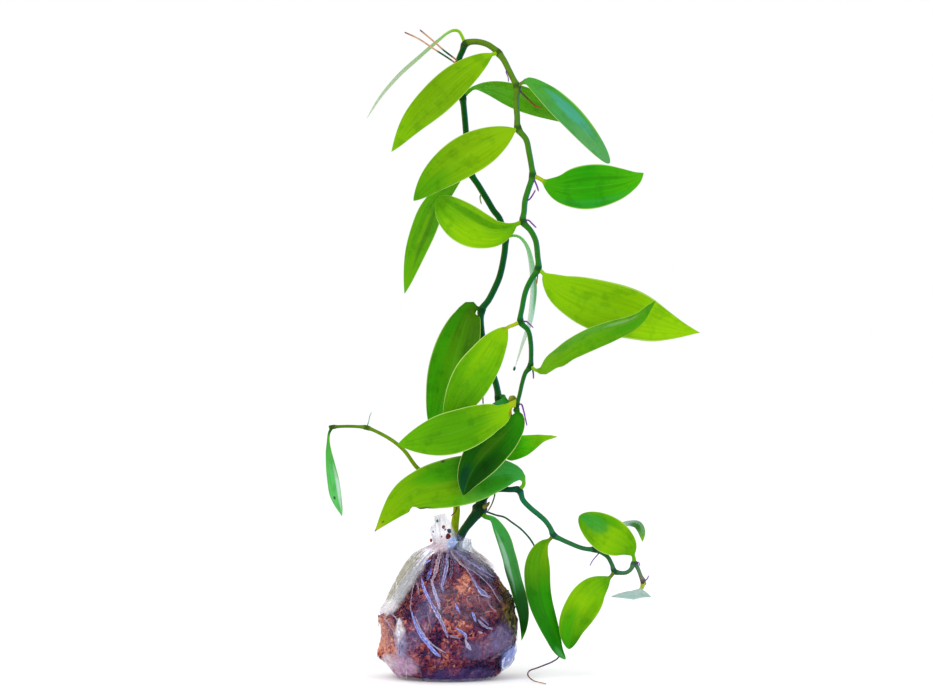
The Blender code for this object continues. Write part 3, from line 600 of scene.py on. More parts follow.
def stem(name, points, radius_stops, swellings, material):
    """A stem with swollen joints, each ringed by a leaf scar."""
    path = rounded([seen(*point) for point in points], STEM_STEP)
    total = lengths_along(path)
    share = total / total[-1]
    thickness = np.interp(share, *zip(*radius_stops))
    joint = np.zeros(len(path))
    for number, swelling in swellings.items():
        away = np.linalg.norm(path - np.array(seen(*points[number])), axis=1)
        thickness += swelling * np.exp(-((away / JOINT_LENGTH) ** 2))
        thickness += SCAR_HEIGHT * np.exp(-(((away - JOINT_LENGTH / 2) / SCAR_LENGTH) ** 2))
        joint = np.maximum(joint, np.exp(-((away / (JOINT_STAIN + swelling)) ** 2)))
    return swept(name, path, thickness, STEM_SIDES, material, joint=joint, share=share)


def stem_skin(name, stops, left, right, joint_colour):
    """Waxy stem: its green changes along it, its left side is painted lighter as if lit and its right side
    painted with a tint of shade and sky reflection, and it is dark at the joints.

    A side is (colour, strength)."""
    made, tree, shader = skin(name, 0.5, 0.06)
    where = place_of(tree)
    facing = add(tree, "ShaderNodeTexCoord").outputs["Normal"]
    sideways = add(tree, "ShaderNodeSeparateXYZ", {0: facing}).outputs[0]
    colour = ramp(tree, value_of(tree, "share"), stops)
    # Painted light on the left side and painted shade on the right side.
    colour = mixed(tree, spread(tree, sideways, -0.3, -0.95, 0.0, left[1]), colour, left[0])
    colour = mixed(tree, spread(tree, sideways, 0.4, 1.0, 0.0, right[1]), colour, right[0])
    mottle = spread(tree, grain(tree, where, 240, 3), 0.4, 0.75, 0.0, 0.25)
    colour = mixed(tree, mottle, colour, paint(170, 190, 130), "MULTIPLY")
    joint = spread(tree, value_of(tree, "joint"), 0.3, 0.95, 0.0, 0.62)
    tree.links.new(mixed(tree, joint, colour, joint_colour), shader.inputs["Base Color"])
    bumped(tree, shader, grain(tree, where, 1200, 2), 0.25, 0.15)
    return made


VINE_SKIN = stem_skin("vine stem", [
    (0.0, paint(12, 62, 16)), (0.1, paint(10, 62, 30)), (0.16, paint(60, 100, 14)),
    (0.2, paint(54, 104, 14)), (0.23, paint(2, 86, 34)), (0.45, paint(2, 88, 14)),
    (0.582, paint(2, 80, 16)), (0.592, paint(88, 124, 20)), (0.68, paint(84, 128, 18)),
    (0.76, paint(44, 120, 18)), (0.9, paint(14, 108, 24)), (1.0, paint(30, 92, 14)),
], (paint(104, 118, 34), 0.45), (paint(86, 122, 196), 0.45), paint(10, 34, 16))
vine_swellings = {joint: JOINT_SWELLING for joint in VINE_JOINTS}
vine_swellings[LOWEST_JOINT] = LOWEST_JOINT_SWELLING
put(stem("vine_stem_skin", VINE, VINE_RADII, vine_swellings, VINE_SKIN), "stem", "vine_stem")

LEFT_SKIN = stem_skin("left shoot stem", [
    (0.0, paint(176, 120, 40)), (0.2, paint(206, 140, 56)), (0.23, paint(170, 190, 10)),
    (0.32, paint(156, 186, 8)), (0.45, paint(124, 162, 6)), (0.75, paint(112, 152, 14)),
    (1.0, paint(66, 110, 20)),
], (paint(206, 206, 40), 0.6), (paint(96, 150, 4), 0.35), paint(24, 44, 16))
left_swellings = {joint: JOINT_SWELLING for joint in LEFT_SHOOT_JOINTS}
left_stem = stem("left_shoot_skin", LEFT_SHOOT, LEFT_SHOOT_RADII, left_swellings, LEFT_SKIN)
put(left_stem, "young_stem", "left_shoot_stem")

RIGHT_SKIN = stem_skin("right shoot stem", [
    (0.0, paint(4, 44, 26)), (0.16, paint(6, 62, 36)), (0.26, paint(14, 108, 62)),
    (0.55, paint(42, 116, 62)), (0.8, paint(52, 110, 66)), (0.94, paint(90, 130, 92)),
    (1.0, paint(150, 110, 110)),
], (paint(70, 120, 96), 0.4), (paint(70, 84, 130), 0.5), paint(14, 30, 44))
right_swellings = {joint: JOINT_SWELLING for joint in RIGHT_SHOOT_JOINTS}
right_stem = stem("right_shoot_skin", RIGHT_SHOOT, RIGHT_SHOOT_RADII, right_swellings, RIGHT_SKIN)
put(right_stem, "stem", "right_shoot_stem")


# A leaf is a thick waxy blade without teeth, on a short stalk that clasps its joint. It is cupped
# along a sunk midrib, its veins run side by side to the tip, and a thin pale painted highlight runs along
# its edge.
LEAF_THICKNESS = 1.3
STALK_THICKNESS = 2.6
LEAF_STEP = 2.0
STALK_ROWS = 9
BLADE_ROWS = 52
ACROSS = np.sin(np.linspace(-math.pi / 2, math.pi / 2, 27))
TIP_HALF_WIDTH = 0.3
STALK_BLEND = 0.12
CLASP_LENGTH = 3.2
CLASP_SPREAD = 0.35
MIDRIB_WIDTH = 0.9
MIDRIB_DEPTH = 0.14
RIPPLE = 0.08
RIPPLES_ACROSS = 15
RIM_THINNING = 0.3
TIP_SHARE = 0.1
TIP_THINNING = 0.75
TOWARDS_EYE = np.array((0.0, -1.0, 0.0))
UP = np.array((0.0, 0.0, 1.0))
APPLE = paint(140, 196, 2)
LIME = paint(128, 186, 2)
OLIVE = paint(114, 162, 2)
BRONZE = paint(62, 112, 1)
GRASS = paint(96, 168, 2)
MEADOW = paint(78, 150, 2)
FERN = paint(60, 156, 2)
EMERALD = paint(48, 152, 2)
FOREST = paint(42, 132, 2)
DEEP = paint(24, 92, 1)
NIGHT = paint(6, 44, 4)
JADE = paint(46, 152, 52)
SEA = paint(74, 160, 78)
# Sky is a painted reflection of the sky on a glossy leaf; pale and frost are painted sheen, the grazing
# gleam of leaves seen nearly edge-on.
SKY_REFLECTION = paint(70, 168, 166)
PALE_SHEEN = paint(212, 228, 204)
FROST_SHEEN = paint(178, 204, 206)
# Cream is the painted highlight along leaf edges and midribs.
CREAM_HIGHLIGHT = paint(194, 220, 116)
STRAW = paint(160, 180, 24)
MUSTARD = paint(96, 112, 20)
SIENNA = paint(130, 84, 30)
BRUISE = paint(62, 46, 64)
STREAK_SHADE = paint(206, 218, 190)
BLOTCH_SHADE = paint(196, 232, 170)
VEIN_SHADE = paint(196, 214, 180)


def blade_share(run, widest, point, base):
    """The share of the full width at this share of the blade's length."""
    if run < widest:
        return math.sin(math.pi / 2 * run / widest) ** base
    return math.cos(math.pi / 2 * (run - widest) / (1 - widest)) ** point


def turned_about(vector, axis, angle):
    """The vector turned about the axis."""
    turned = vector * math.cos(angle) + np.cross(axis, vector) * math.sin(angle)
    return turned + axis * np.dot(axis, vector) * (1 - math.cos(angle))


def unit(vector):
    """The vector at length 1."""
    return vector / np.linalg.norm(vector)


def patch_share(tree, along, across, middle, reach, strength):
    """The share of an oval patch on a blade, full in its middle and fading to its edge."""
    off = sums(tree, "DIVIDE", sums(tree, "SUBTRACT", along, middle[0]), reach[0])
    side = sums(tree, "DIVIDE", sums(tree, "SUBTRACT", across, middle[1]), reach[1])
    distance = sums(tree, "ADD", sums(tree, "MULTIPLY", off, off), sums(tree, "MULTIPLY", side, side))
    return spread(tree, distance, 1.0, 0.15, 0.0, strength)


def leaf_skin(name, near, middle, far, patches=(), rim_highlight=0.5, stalk=GRASS, shine=0.04, veined=1.0):
    """Leaf: three greens along it, patches of other greens, faint long veins, and a pale painted highlight
    along its edge and midrib. Some of the greens and patches are painted sheen, reflection and shade.

    A patch is (colour, strength, place along and across, reach along and across)."""
    made, tree, shader = skin(name, 0.42, shine)
    along, across = value_of(tree, "along"), value_of(tree, "across")
    span = sums(tree, "ABSOLUTE", across)
    colour = ramp(tree, along, [(0.04, near), (0.45, middle), (0.96, far)])
    for tint, strength, place, reach in patches:
        colour = mixed(tree, patch_share(tree, along, across, place, reach, strength), colour, tint)
    broad = vector_of(
        tree, sums(tree, "MULTIPLY", along, 1.6), sums(tree, "MULTIPLY", across, 4.5), len(name) * 1.37)
    streak = spread(tree, grain(tree, broad, 1.6, 3), 0.42, 0.72, 0.0, 0.3 * veined)
    colour = mixed(tree, streak, colour, STREAK_SHADE, "MULTIPLY")
    blotch = spread(tree, grain(tree, place_of(tree), 75, 3, 0.6), 0.48, 0.7, 0.0, 0.5 * veined)
    colour = mixed(tree, blotch, colour, BLOTCH_SHADE, "MULTIPLY")
    narrow = vector_of(tree, sums(tree, "MULTIPLY", along, 2.0), sums(tree, "MULTIPLY", across, 24.0))
    veins = grain(tree, narrow, 1.0, 2)
    colour = mixed(tree, spread(tree, veins, 0.45, 0.8, 0.0, 0.3 * veined), colour, VEIN_SHADE, "MULTIPLY")
    # Painted highlights: a faint pale line down the midrib and a pale line along the edge.
    colour = mixed(tree, spread(tree, span, 0.04, 0.0, 0.0, 0.05), colour, CREAM_HIGHLIGHT)
    colour = mixed(tree, spread(tree, value_of(tree, "under"), 0.3, 0.7, 0.0, 0.35 * veined), colour, SEA)
    colour = mixed(tree, spread(tree, span, 0.94, 0.985, 0.0, rim_highlight), colour, CREAM_HIGHLIGHT)
    colour = mixed(tree, spread(tree, along, 0.05, -0.03, 0.0, 0.95), colour, stalk)
    tree.links.new(colour, shader.inputs["Base Color"])
    bumped(tree, shader, veins, 0.3 * veined, 0.1)
    return made


def leaf(node, spine, width, look, widest=0.45, point=0.85, base=0.8, turn=(0, 0), fold=10, wave=0.0,
         stalk=9.0, stalk_width=3.8, edges=(), towards=TOWARDS_EYE, slot="leaf"):
    """One leaf in place of its node, along its spine of points (x, z, depth).

    widest is the share of the blade's length where it is broadest; point and base are how full its
    two ends are; turn is its twist in degrees from stalk to tip, fold how far it is cupped. An edge is
    (side, share of the length, how far in, length of the bite)."""
    path = rounded([seen(*where) for where in spine], LEAF_STEP)
    total = lengths_along(path)
    length = total[-1]

    def at(distance):
        return np.array([np.interp(distance, total, path[:, axis]) for axis in range(3)])

    blade_start = stalk / length
    runs = [blade_start * i / STALK_ROWS for i in range(STALK_ROWS)]
    runs += [blade_start + (1 - blade_start) * math.sin(math.pi / 2 * i / BLADE_ROWS) ** 1.1
             for i in range(BLADE_ROWS + 1)]
    turn_places = np.linspace(0, 1, len(turn))
    veined = look.get("veined", 1.0)
    rings, alongs, acrosses, unders = [], [], [], []
    for run in runs:
        blade_run = (run - blade_start) / (1 - blade_start)
        share = blade_share(blade_run, widest, point, base) if blade_run > 0 else 0.0
        stalk_share = max(0.0, 1 - max(0.0, blade_run) / STALK_BLEND)
        clasp = 1 + CLASP_SPREAD * math.exp(-((run * length / CLASP_LENGTH) ** 2))
        tip = max(0.0, (blade_run - (1 - TIP_SHARE)) / TIP_SHARE)
        stalk_half = (stalk_width / 2 * (1 - tip) + TIP_HALF_WIDTH * tip) * clasp
        half = ((width / 2 * share) ** 3 + stalk_half ** 3) ** (1 / 3)
        centre = at(run * length)
        along = unit(at(min(length, run * length + LEAF_STEP)) - at(max(0.0, run * length - LEAF_STEP)))
        facing = unit(towards - along * np.dot(along, towards))
        face = turned_about(facing, along, math.radians(np.interp(run, turn_places, turn)))
        side = np.cross(along, face)
        reach = np.full(len(ACROSS), half)
        for edge_side, place, inward, bite in edges:
            near_edge = np.clip(edge_side * ACROSS, 0, 1) ** 5
            reach -= inward * np.exp(-(((blade_run - place) / bite) ** 2)) * near_edge
        span = np.abs(ACROSS)
        lift = reach * math.sin(math.radians(fold)) * share * span ** 1.5
        lift += wave * share * ACROSS * span * math.sin(3 * math.pi * blade_run)
        rib = veined * np.exp(-((ACROSS * half / MIDRIB_WIDTH) ** 2)) * min(1.0, 3 * share)
        squareness = 2 + 5 * (1 - stalk_share)
        blade_part = LEAF_THICKNESS * (1 - RIM_THINNING * span) * (1 - stalk_share)
        wanted = blade_part + STALK_THICKNESS * clasp * stalk_share
        thick = wanted / 2 * np.sqrt(np.clip(1 - span ** squareness, 0, 1)) * (1 - TIP_THINNING * tip)
        swing = 3 * math.sin(2.2 * blade_run)
        ripple = veined * RIPPLE * share * np.cos(ACROSS * RIPPLES_ACROSS + swing) * (span < 0.93)
        flat = centre + np.outer(reach * ACROSS, side)
        top = flat + np.outer(lift + thick - MIDRIB_DEPTH * rib + ripple, face)
        back = flat + np.outer(lift - thick - MIDRIB_DEPTH * rib, face)
        rings.append(np.concatenate([back, top[-2:0:-1]]))
        acrosses.append(np.concatenate([ACROSS, ACROSS[-2:0:-1]]))
        unders.append(np.concatenate([np.ones(len(ACROSS)), np.zeros(len(ACROSS) - 2)]))
        alongs.append(np.full(len(rings[-1]), blade_run))
    made = loft(node + "_blade", [rings], {"along": [alongs], "across": [acrosses], "under": [unders]})
    made.data.materials.append(leaf_skin(node.replace("_", " "), **look))
    put(made, slot, node)
    return made


# The pale patch is a painted highlight band, and the dark lower part, where the leaf turns its underside,
# is painted shade.
leaf("vine_leaf_01", [
    (29.5, 168.5, -2), (35, 161.5, -7), (43, 158.5, -11), (50, 148, -14), (57, 134, -19),
    (62, 119, -24), (65.5, 105, -27), (69, 92, -29), (72.5, 77, -30), (74.5, 62, -30), (74, 49, -29),
    (72, 37, -28),
], 28, dict(
    near=paint(60, 162, 66), middle=SEA, far=paint(10, 92, 8), rim_highlight=0.3, stalk=MEADOW,
    patches=[
        (NIGHT, 0.6, (0.78, 0.0), (0.24, 3.0)), (paint(176, 222, 196), 0.65, (0.38, 0.6), (0.3, 0.36)),
        (DEEP, 0.8, (0.56, 1.0), (0.2, 0.6)), (EMERALD, 0.7, (1.0, 0.0), (0.08, 3.0)),
    ],
), widest=0.45, turn=(20, 35, 58, 60, 50, 48), stalk=14, stalk_width=5.5, slot="dark_leaf")
leaf("vine_leaf_02", [
    (41, 222, 10), (47, 226, 9), (57, 228.5, 10), (65, 230.2, 11), (74, 232.3, 11), (83.5, 235.9, 12),
    (91, 238.7, 12), (99.5, 240.3, 12), (107.5, 241, 12),
], 25, dict(
    near=FERN, middle=paint(76, 186, 2), far=APPLE,
), widest=0.2, point=1.5, turn=(0, 10))
leaf("vine_leaf_03", [
    (49, 279, 18), (54, 281.5, 11), (54, 276, 4), (49.5, 262, -1), (45.5, 240, -3), (42, 215, -3),
], 31, dict(
    near=JADE, middle=paint(62, 152, 30), far=FOREST, stalk=FOREST,
    patches=[
        (SEA, 0.6, (0.1, 0.5), (0.25, 0.6)), (FOREST, 0.7, (0.1, -0.7), (0.3, 0.5)),
    ],
), turn=(10, 10), stalk=12, slot="dark_leaf")
leaf("vine_leaf_04", [
    (32, 367, 22), (27, 369.5, 19), (21.5, 368.5, 17), (17, 358, 16), (10, 337, 14), (3, 312, 12),
    (-4, 287, 10), (-11.5, 262, 8), (-17, 239, 8),
], 46, dict(
    near=BRONZE, middle=MEADOW, far=EMERALD, stalk=DEEP,
    patches=[
        (BRONZE, 0.75, (0.3, -0.6), (0.5, 0.5)), (FERN, 0.75, (0.5, 0.7), (0.5, 0.4)),
        (FOREST, 0.5, (0.12, 0.6), (0.2, 0.5)),
    ],
), base=0.5, turn=(0, 10), fold=14, stalk=6, stalk_width=4.4)
# Its pale greens are painted sheen on a leaf seen nearly edge-on.
leaf("vine_leaf_05", [
    (55.5, 439, 24), (63, 442, 24), (70, 440.5, 23), (77, 432, 22), (81, 419, 21), (83, 405, 20),
    (84, 389, 19), (83, 374, 18), (80, 355, 17), (74, 337, 16), (65, 309, 15),
], 30, dict(
    near=paint(112, 196, 82), middle=paint(150, 208, 180), far=PALE_SHEEN, rim_highlight=0.0, stalk=GRASS, veined=0.0,
    patches=[
        (PALE_SHEEN, 0.7, (0.55, 0.6), (0.5, 0.6)), (JADE, 0.8, (0.44, -0.7), (0.18, 0.5)),
        (NIGHT, 0.9, (1.0, 0.0), (0.02, 3.0)),
    ],
), point=1.2, turn=(79, 79), fold=0)
leaf("vine_leaf_06", [
    (21, 505, 22), (14, 502, 19), (3, 493, 16), (-8, 481, 12), (-16, 468, 9), (-25, 445, 6),
    (-32, 427, 3), (-38, 409, 0), (-45, 384, -2),
], 34, dict(
    near=MEADOW, middle=MEADOW, far=GRASS,
    patches=[
        (BRONZE, 0.6, (0.55, -0.2), (0.3, 0.25)), (GRASS, 0.7, (0.4, 0.85), (0.5, 0.3)),
        (OLIVE, 0.5, (0.55, 0.15), (0.35, 0.15)),
    ],
), turn=(40, 40))
leaf("vine_leaf_07", [
    (13, 580, 20), (20, 587, 20), (25, 590, 20), (41, 589.5, 19), (66, 582.5, 17), (91, 573, 15),
    (111, 563.5, 14), (131, 552, 13),
], 30, dict(
    near=paint(100, 184, 50), middle=paint(90, 172, 20), far=paint(100, 166, 44), stalk=MEADOW,
    patches=[
        (GRASS, 0.6, (0.3, -0.6), (0.35, 0.4)), (MEADOW, 0.4, (0.6, 0.3), (0.3, 0.5)),
    ],
), turn=(40, 35), stalk=14, stalk_width=4.2)
# Its pale greens are painted sheen on a leaf seen nearly edge-on.
leaf("vine_leaf_08", [
    (15.5, 633.5, 12), (13, 640, 13), (9, 646.5, 15), (3, 647, 17), (-3, 644, 18), (-9, 639, 19),
    (-15, 634, 20), (-31, 620, 22), (-50, 603, 24), (-69, 581, 26), (-83, 559, 28),
], 20, dict(
    near=paint(150, 206, 100), middle=paint(180, 210, 160), far=paint(204, 226, 192), rim_highlight=0.0,
    stalk=LIME, veined=0.0,
), turn=(-60, -78, -84, -84, -83, -82), fold=0, stalk=22, stalk_width=4.6)
leaf("vine_leaf_09", [
    (49, 624.5, -2), (42, 623, -7), (12.5, 602.5, -15), (-13, 579, -20), (-37.5, 554.5, -22),
    (-58, 526, -20),
], 33, dict(
    near=paint(124, 178, 2), middle=paint(110, 160, 2), far=paint(122, 180, 2), stalk=LIME,
    patches=[
        (OLIVE, 0.6, (0.4, -0.4), (0.5, 0.4)), (MEADOW, 0.5, (0.02, -0.9), (0.1, 0.9)),
    ],
), base=0.62, fold=12)
# Its sky patch is a painted reflection of the sky, and the lime strip along one edge is a painted
# highlight.
leaf("vine_leaf_10", [
    (67.5, 591, -14), (73, 595, -17), (78.5, 596.5, -20), (95, 584, -24), (109, 570, -26),
    (123, 556, -27), (138, 540, -26), (150, 526.5, -24), (160, 514.5, -22),
], 40, dict(
    near=FERN, middle=JADE, far=SEA, rim_highlight=0.6, stalk=MUSTARD, shine=0.2,
    patches=[
        (SKY_REFLECTION, 0.5, (0.5, -0.35), (0.36, 0.45)), (SEA, 0.6, (0.8, 0.2), (0.3, 0.9)),
        (FERN, 0.7, (0.15, 0.6), (0.25, 0.5)), (LIME, 0.6, (0.5, -1.0), (0.6, 0.16)),
    ],
), point=0.5, base=0.65, turn=(-50, -50), fold=8, stalk=7, stalk_width=4.5)
leaf("vine_leaf_11", [
    (68.5, 549, -22), (62, 546.5, -26), (34.6, 531.8, -36), (8.6, 517, -42), (-15.2, 499, -44),
    (-36, 477, -42),
], 40, dict(
    near=paint(132, 182, 2), middle=paint(120, 170, 2), far=MEADOW, stalk=LIME,
    patches=[
        (MEADOW, 0.7, (0.9, -0.2), (0.3, 0.9)), (OLIVE, 0.5, (0.5, 0.4), (0.4, 0.4)),
    ],
), point=0.75, base=0.7, fold=12, stalk=4)
leaf("vine_leaf_12", [
    (83, 502, -27), (90, 499, -30), (98, 494, -31), (111, 489.5, -32), (131, 489.7, -34),
    (151, 492, -34), (171, 495, -32), (186, 499.5, -29), (194, 504.5, -26),
], 44, dict(
    near=FERN, middle=paint(40, 150, 2), far=paint(72, 170, 2), rim_highlight=0.6, stalk=STRAW,
    patches=[
        (FOREST, 0.5, (0.5, -0.35), (0.45, 0.14)), (FOREST, 0.4, (0.55, 0.15), (0.4, 0.1)),
        (JADE, 0.5, (0.5, 0.75), (0.4, 0.25)),
    ],
), fold=12, stalk=12, stalk_width=4)
leaf("vine_leaf_13", [
    (73.5, 456, -31), (66, 453, -33), (59, 448.5, -34), (46, 445.5, -35), (31, 449, -35),
    (16, 456.5, -33), (1, 466.5, -29), (-12, 478.5, -24),
], 42, dict(
    near=GRASS, middle=LIME, far=GRASS, rim_highlight=0.75, stalk=OLIVE,
    patches=[
        (MEADOW, 0.85, (0.5, 0.45), (0.55, 0.3)), (APPLE, 0.6, (0.5, -0.55), (0.4, 0.4)),
    ],
), widest=0.58, point=0.5, turn=(-25, -22), fold=20, wave=1.0, stalk=7, stalk_width=4.4)
leaf("vine_leaf_14", [
    (88.5, 409, -34), (94, 404, -36), (98, 399, -36), (111, 388, -36), (131, 378.5, -35),
    (151, 371, -34), (171, 365, -33), (191, 360, -31), (211, 354, -29), (231, 348.5, -27),
    (250, 345, -25),
], 50, dict(
    near=LIME, middle=LIME, far=APPLE, stalk=LIME,
    patches=[
        (APPLE, 0.7, (0.75, 0.5), (0.3, 0.5)),
    ],
), widest=0.41, point=1.0, base=0.65, fold=8, wave=1.0, stalk=8,
     edges=[(1, 0.74, -3.5, 0.14), (-1, 0.58, -3, 0.18)])
leaf("vine_leaf_15", [
    (71, 356, -36), (64, 352.5, -37), (58, 350, -37), (47, 335.5, -36), (36, 317, -35), (23, 299, -34),
    (11, 279, -33), (1, 260, -32), (-5, 246, -31),
], 41, dict(
    near=LIME, middle=GRASS, far=MEADOW, rim_highlight=0.8, stalk=STRAW,
    patches=[
        (LIME, 0.6, (0.3, 0.3), (0.3, 0.4)), (MEADOW, 0.7, (0.85, -0.4), (0.35, 0.5)),
        (SIENNA, 0.6, (0.0, 0.5), (0.04, 0.8)),
    ],
), base=0.62, fold=12, stalk=15, edges=[(-1, 0.3, 3, 0.2)])
leaf("vine_leaf_16", [
    (80.5, 311, -38), (86.5, 307.5, -41), (93, 307, -44), (101, 316, -48), (111, 323, -52),
    (121, 330, -55), (141, 340.5, -59), (161, 348, -61), (181, 355, -62), (191, 361, -61),
    (199, 369.5, -59), (206, 377, -57),
], 33, dict(
    near=paint(106, 168, 2), middle=GRASS, far=MEADOW, rim_highlight=0.5, stalk=LIME,
    patches=[
        (SEA, 0.25, (0.45, -0.6), (0.3, 0.3)), (FERN, 0.6, (0.8, 0.3), (0.25, 0.5)),
        (PALE_SHEEN, 0.15, (0.7, -0.5), (0.16, 0.25)),
    ],
), base=0.55, turn=(50, 45), stalk=8, edges=[(1, 0.14, -3.5, 0.08)])
leaf("vine_leaf_17", [
    (67, 274, -40), (62, 273, -44), (56.5, 268, -46), (50.5, 262.8, -48), (41, 259.5, -51),
    (31, 255.5, -54), (11, 247.5, -57), (-9, 242, -58), (-29, 237.5, -57), (-52, 233, -55),
], 42, dict(
    near=LIME, middle=MEADOW, far=GRASS, rim_highlight=0.65, stalk=STRAW,
    patches=[
        (MEADOW, 0.85, (0.5, 0.0), (0.35, 0.6)), (SIENNA, 0.8, (0.03, -1.0), (0.06, 0.6)),
    ],
), widest=0.54, base=0.62, stalk=8, stalk_width=6.5)
# Its deep and night greens are painted shade: the leaf hangs in shadow, facing down.
leaf("vine_leaf_18", [
    (66.5, 269, -39.5), (68, 262, -39.5), (64.5, 254, -39), (54.5, 243, -38), (38.5, 227.5, -36.5),
    (26.5, 212.5, -35), (18.5, 198, -34), (13.8, 182.5, -33),
], 39, dict(
    near=FOREST, middle=DEEP, far=DEEP, rim_highlight=0.75, stalk=DEEP,
    patches=[
        (NIGHT, 0.6, (0.8, -0.5), (0.4, 0.6)), (FOREST, 0.5, (0.2, 0.3), (0.3, 0.6)),
        (BRONZE, 0.55, (0.42, 0.1), (0.3, 0.35)), (paint(4, 58, 44), 0.7, (0.88, 0.4), (0.22, 0.5)),
    ],
), widest=0.5, point=0.75, base=0.5, fold=8, stalk=4, stalk_width=5, slot="dark_leaf")
# Its pale patch is painted sheen.
leaf("left_shoot_leaf", [
    (-117.5, 250.5, 0), (-120.6, 244, 0), (-121, 229, -1), (-118.4, 213, -2), (-115.2, 197, -3),
    (-112.4, 180, -4), (-107.6, 161.5, -4),
], 28, dict(
    near=FERN, middle=paint(84, 190, 90), far=paint(92, 192, 96), rim_highlight=0.3, stalk=DEEP,
    patches=[
        (paint(196, 224, 210), 0.85, (0.66, -0.6), (0.34, 0.42)),
        (NIGHT, 0.9, (0.77, 0.35), (0.026, 0.22)), (LIME, 0.6, (0.5, 1.0), (0.5, 0.16)),
    ],
), widest=0.66, base=1.1, turn=(60, 62), fold=6, stalk=7, stalk_width=2.6)
leaf("right_shoot_leaf_1", [
    (69.3, 187.5, -12), (74, 193, -15), (72.7, 200, -18), (66, 203.5, -20), (56, 204, -21),
    (41, 202.5, -22), (21, 199, -23), (1, 195, -24), (-19, 190.5, -24), (-39, 183, -24),
    (-49, 176, -24), (-59, 165.5, -23), (-75, 146, -22),
], 49, dict(
    near=SEA, middle=paint(86, 158, 2), far=paint(128, 178, 2), rim_highlight=0.45, stalk=GRASS,
    patches=[
        (JADE, 0.7, (0.1, 0.0), (0.2, 1.5)), (FOREST, 0.85, (0.2, -0.5), (0.16, 0.5)),
        (EMERALD, 0.6, (0.46, 0.5), (0.25, 0.5)), (OLIVE, 0.5, (0.5, -0.3), (0.2, 0.4)),
        (STRAW, 0.8, (1.0, 0.0), (0.08, 2.0)), (paint(110, 72, 40), 0.9, (0.925, -0.1), (0.012, 0.2)),
        (BRUISE, 1.0, (0.68, -1.05), (0.13, 0.22)), (BRUISE, 0.95, (0.745, -1.0), (0.035, 0.16)),
        (BRUISE, 0.95, (0.472, 1.0), (0.018, 0.16)), (BRUISE, 0.8, (1.0, 0.0), (0.02, 3.0)),
    ],
), widest=0.4, point=1.0, stalk=12, edges=[(-1, 0.725, 6.0, 0.03), (-1, 0.64, 1.2, 0.03)])
leaf("right_shoot_leaf_2", [
    (104, 142.5, -12), (100, 138, -13), (95, 134, -15), (90.2, 126, -17), (87.6, 115, -19),
    (87, 102, -20), (88, 87.6, -21), (91.3, 72.6, -21), (96.6, 57.6, -21), (102.6, 42.6, -20),
    (108.7, 27.6, -18), (115.9, 18.3, -16),
], 27.5, dict(
    near=OLIVE, middle=paint(40, 130, 2), far=paint(16, 116, 8), rim_highlight=0.3, stalk=MUSTARD,
    patches=[
        (MEADOW, 0.8, (0.12, 0.3), (0.25, 0.8)), (SEA, 0.8, (0.97, 0.2), (0.12, 0.8)),
        (EMERALD, 0.5, (0.6, -0.5), (0.4, 0.5)),
    ],
), widest=0.3, point=0.6, turn=(-10, -22, -25), fold=8, stalk=6, stalk_width=3.4)
# Its frost and pale greens are painted sheen on a leaf seen nearly edge-on.
leaf("right_shoot_leaf_3", [
    (145, 128, -8), (150, 140, 0), (160, 149, 8), (172, 154, 11), (181, 155.5, 12), (188.5, 153.5, 12),
    (192, 147, 11), (193, 136, 10),
], 15, dict(
    near=FROST_SHEEN, middle=FROST_SHEEN, far=GRASS, rim_highlight=0.1, stalk=SEA, veined=0.3,
    patches=[
        (PALE_SHEEN, 0.5, (0.35, 0.0), (0.25, 2.0)), (FOREST, 0.8, (0.74, 0.4), (0.16, 0.8)),
        (APPLE, 0.8, (1.0, 0.0), (0.1, 3.0)),
    ],
), widest=0.6, turn=(75, 75, 65, 20), stalk=10, stalk_width=3.0)
leaf("right_shoot_leaf_4", [
    (164.8, 106.3, -10), (161, 101, -13), (155.5, 96.5, -17), (143.3, 86.8, -22), (131.5, 69.5, -26),
    (122.2, 50.9, -27), (119.2, 28.5, -26),
], 34, dict(
    near=GRASS, middle=LIME, far=FOREST, rim_highlight=0.35, stalk=MUSTARD,
    patches=[
        (FERN, 0.7, (0.85, 0.3), (0.4, 0.6)), (MEADOW, 0.5, (0.55, -0.6), (0.3, 0.4)),
    ],
), point=0.6, stalk=8, stalk_width=3.4)
leaf("right_shoot_leaf_5", [
    (184.5, 115, -8), (184, 121, -10), (178, 130.5, -14), (157.5, 143.5, -20), (141.5, 154, -24),
    (129.5, 161.5, -27),
], 37, dict(
    near=GRASS, middle=LIME, far=MEADOW, rim_highlight=0.7, stalk=GRASS,
    patches=[
        (JADE, 0.75, (0.78, 0.2), (0.3, 0.7)), (FERN, 0.6, (0.6, 0.7), (0.3, 0.3)),
    ],
), widest=0.5, point=0.55, base=0.7, stalk=8, stalk_width=3.6)
# Its frost green is painted sheen on a leaf seen from its edge.
leaf("right_shoot_leaf_6", [
    (193.6, 96, -5), (192.5, 90, -7), (189, 87, -13), (182, 86, -28), (181, 83, -44), (184, 78, -60),
], 40, dict(
    near=FROST_SHEEN, middle=FROST_SHEEN, far=FROST_SHEEN, rim_highlight=0.3, stalk=STRAW,
), widest=0.4, fold=-14, towards=UP, stalk=10, stalk_width=4.4)


# Aerial roots are thin and limp, and grow from the joints opposite the leaves. Young ones are green
# or purple, older ones dry to tan; one long root reaches the floor behind the bag's right side.
ROOT_SIDES = 10
ROOT_STEP = 1.5
ROOT_UNEVENNESS = 0.12
TAN = paint(206, 158, 122)
RUST = paint(170, 84, 40)
PURPLE = paint(120, 50, 160)
DUSK = paint(84, 54, 104)
GREY_GREEN = paint(30, 92, 56)
CLAY = paint(96, 56, 40)


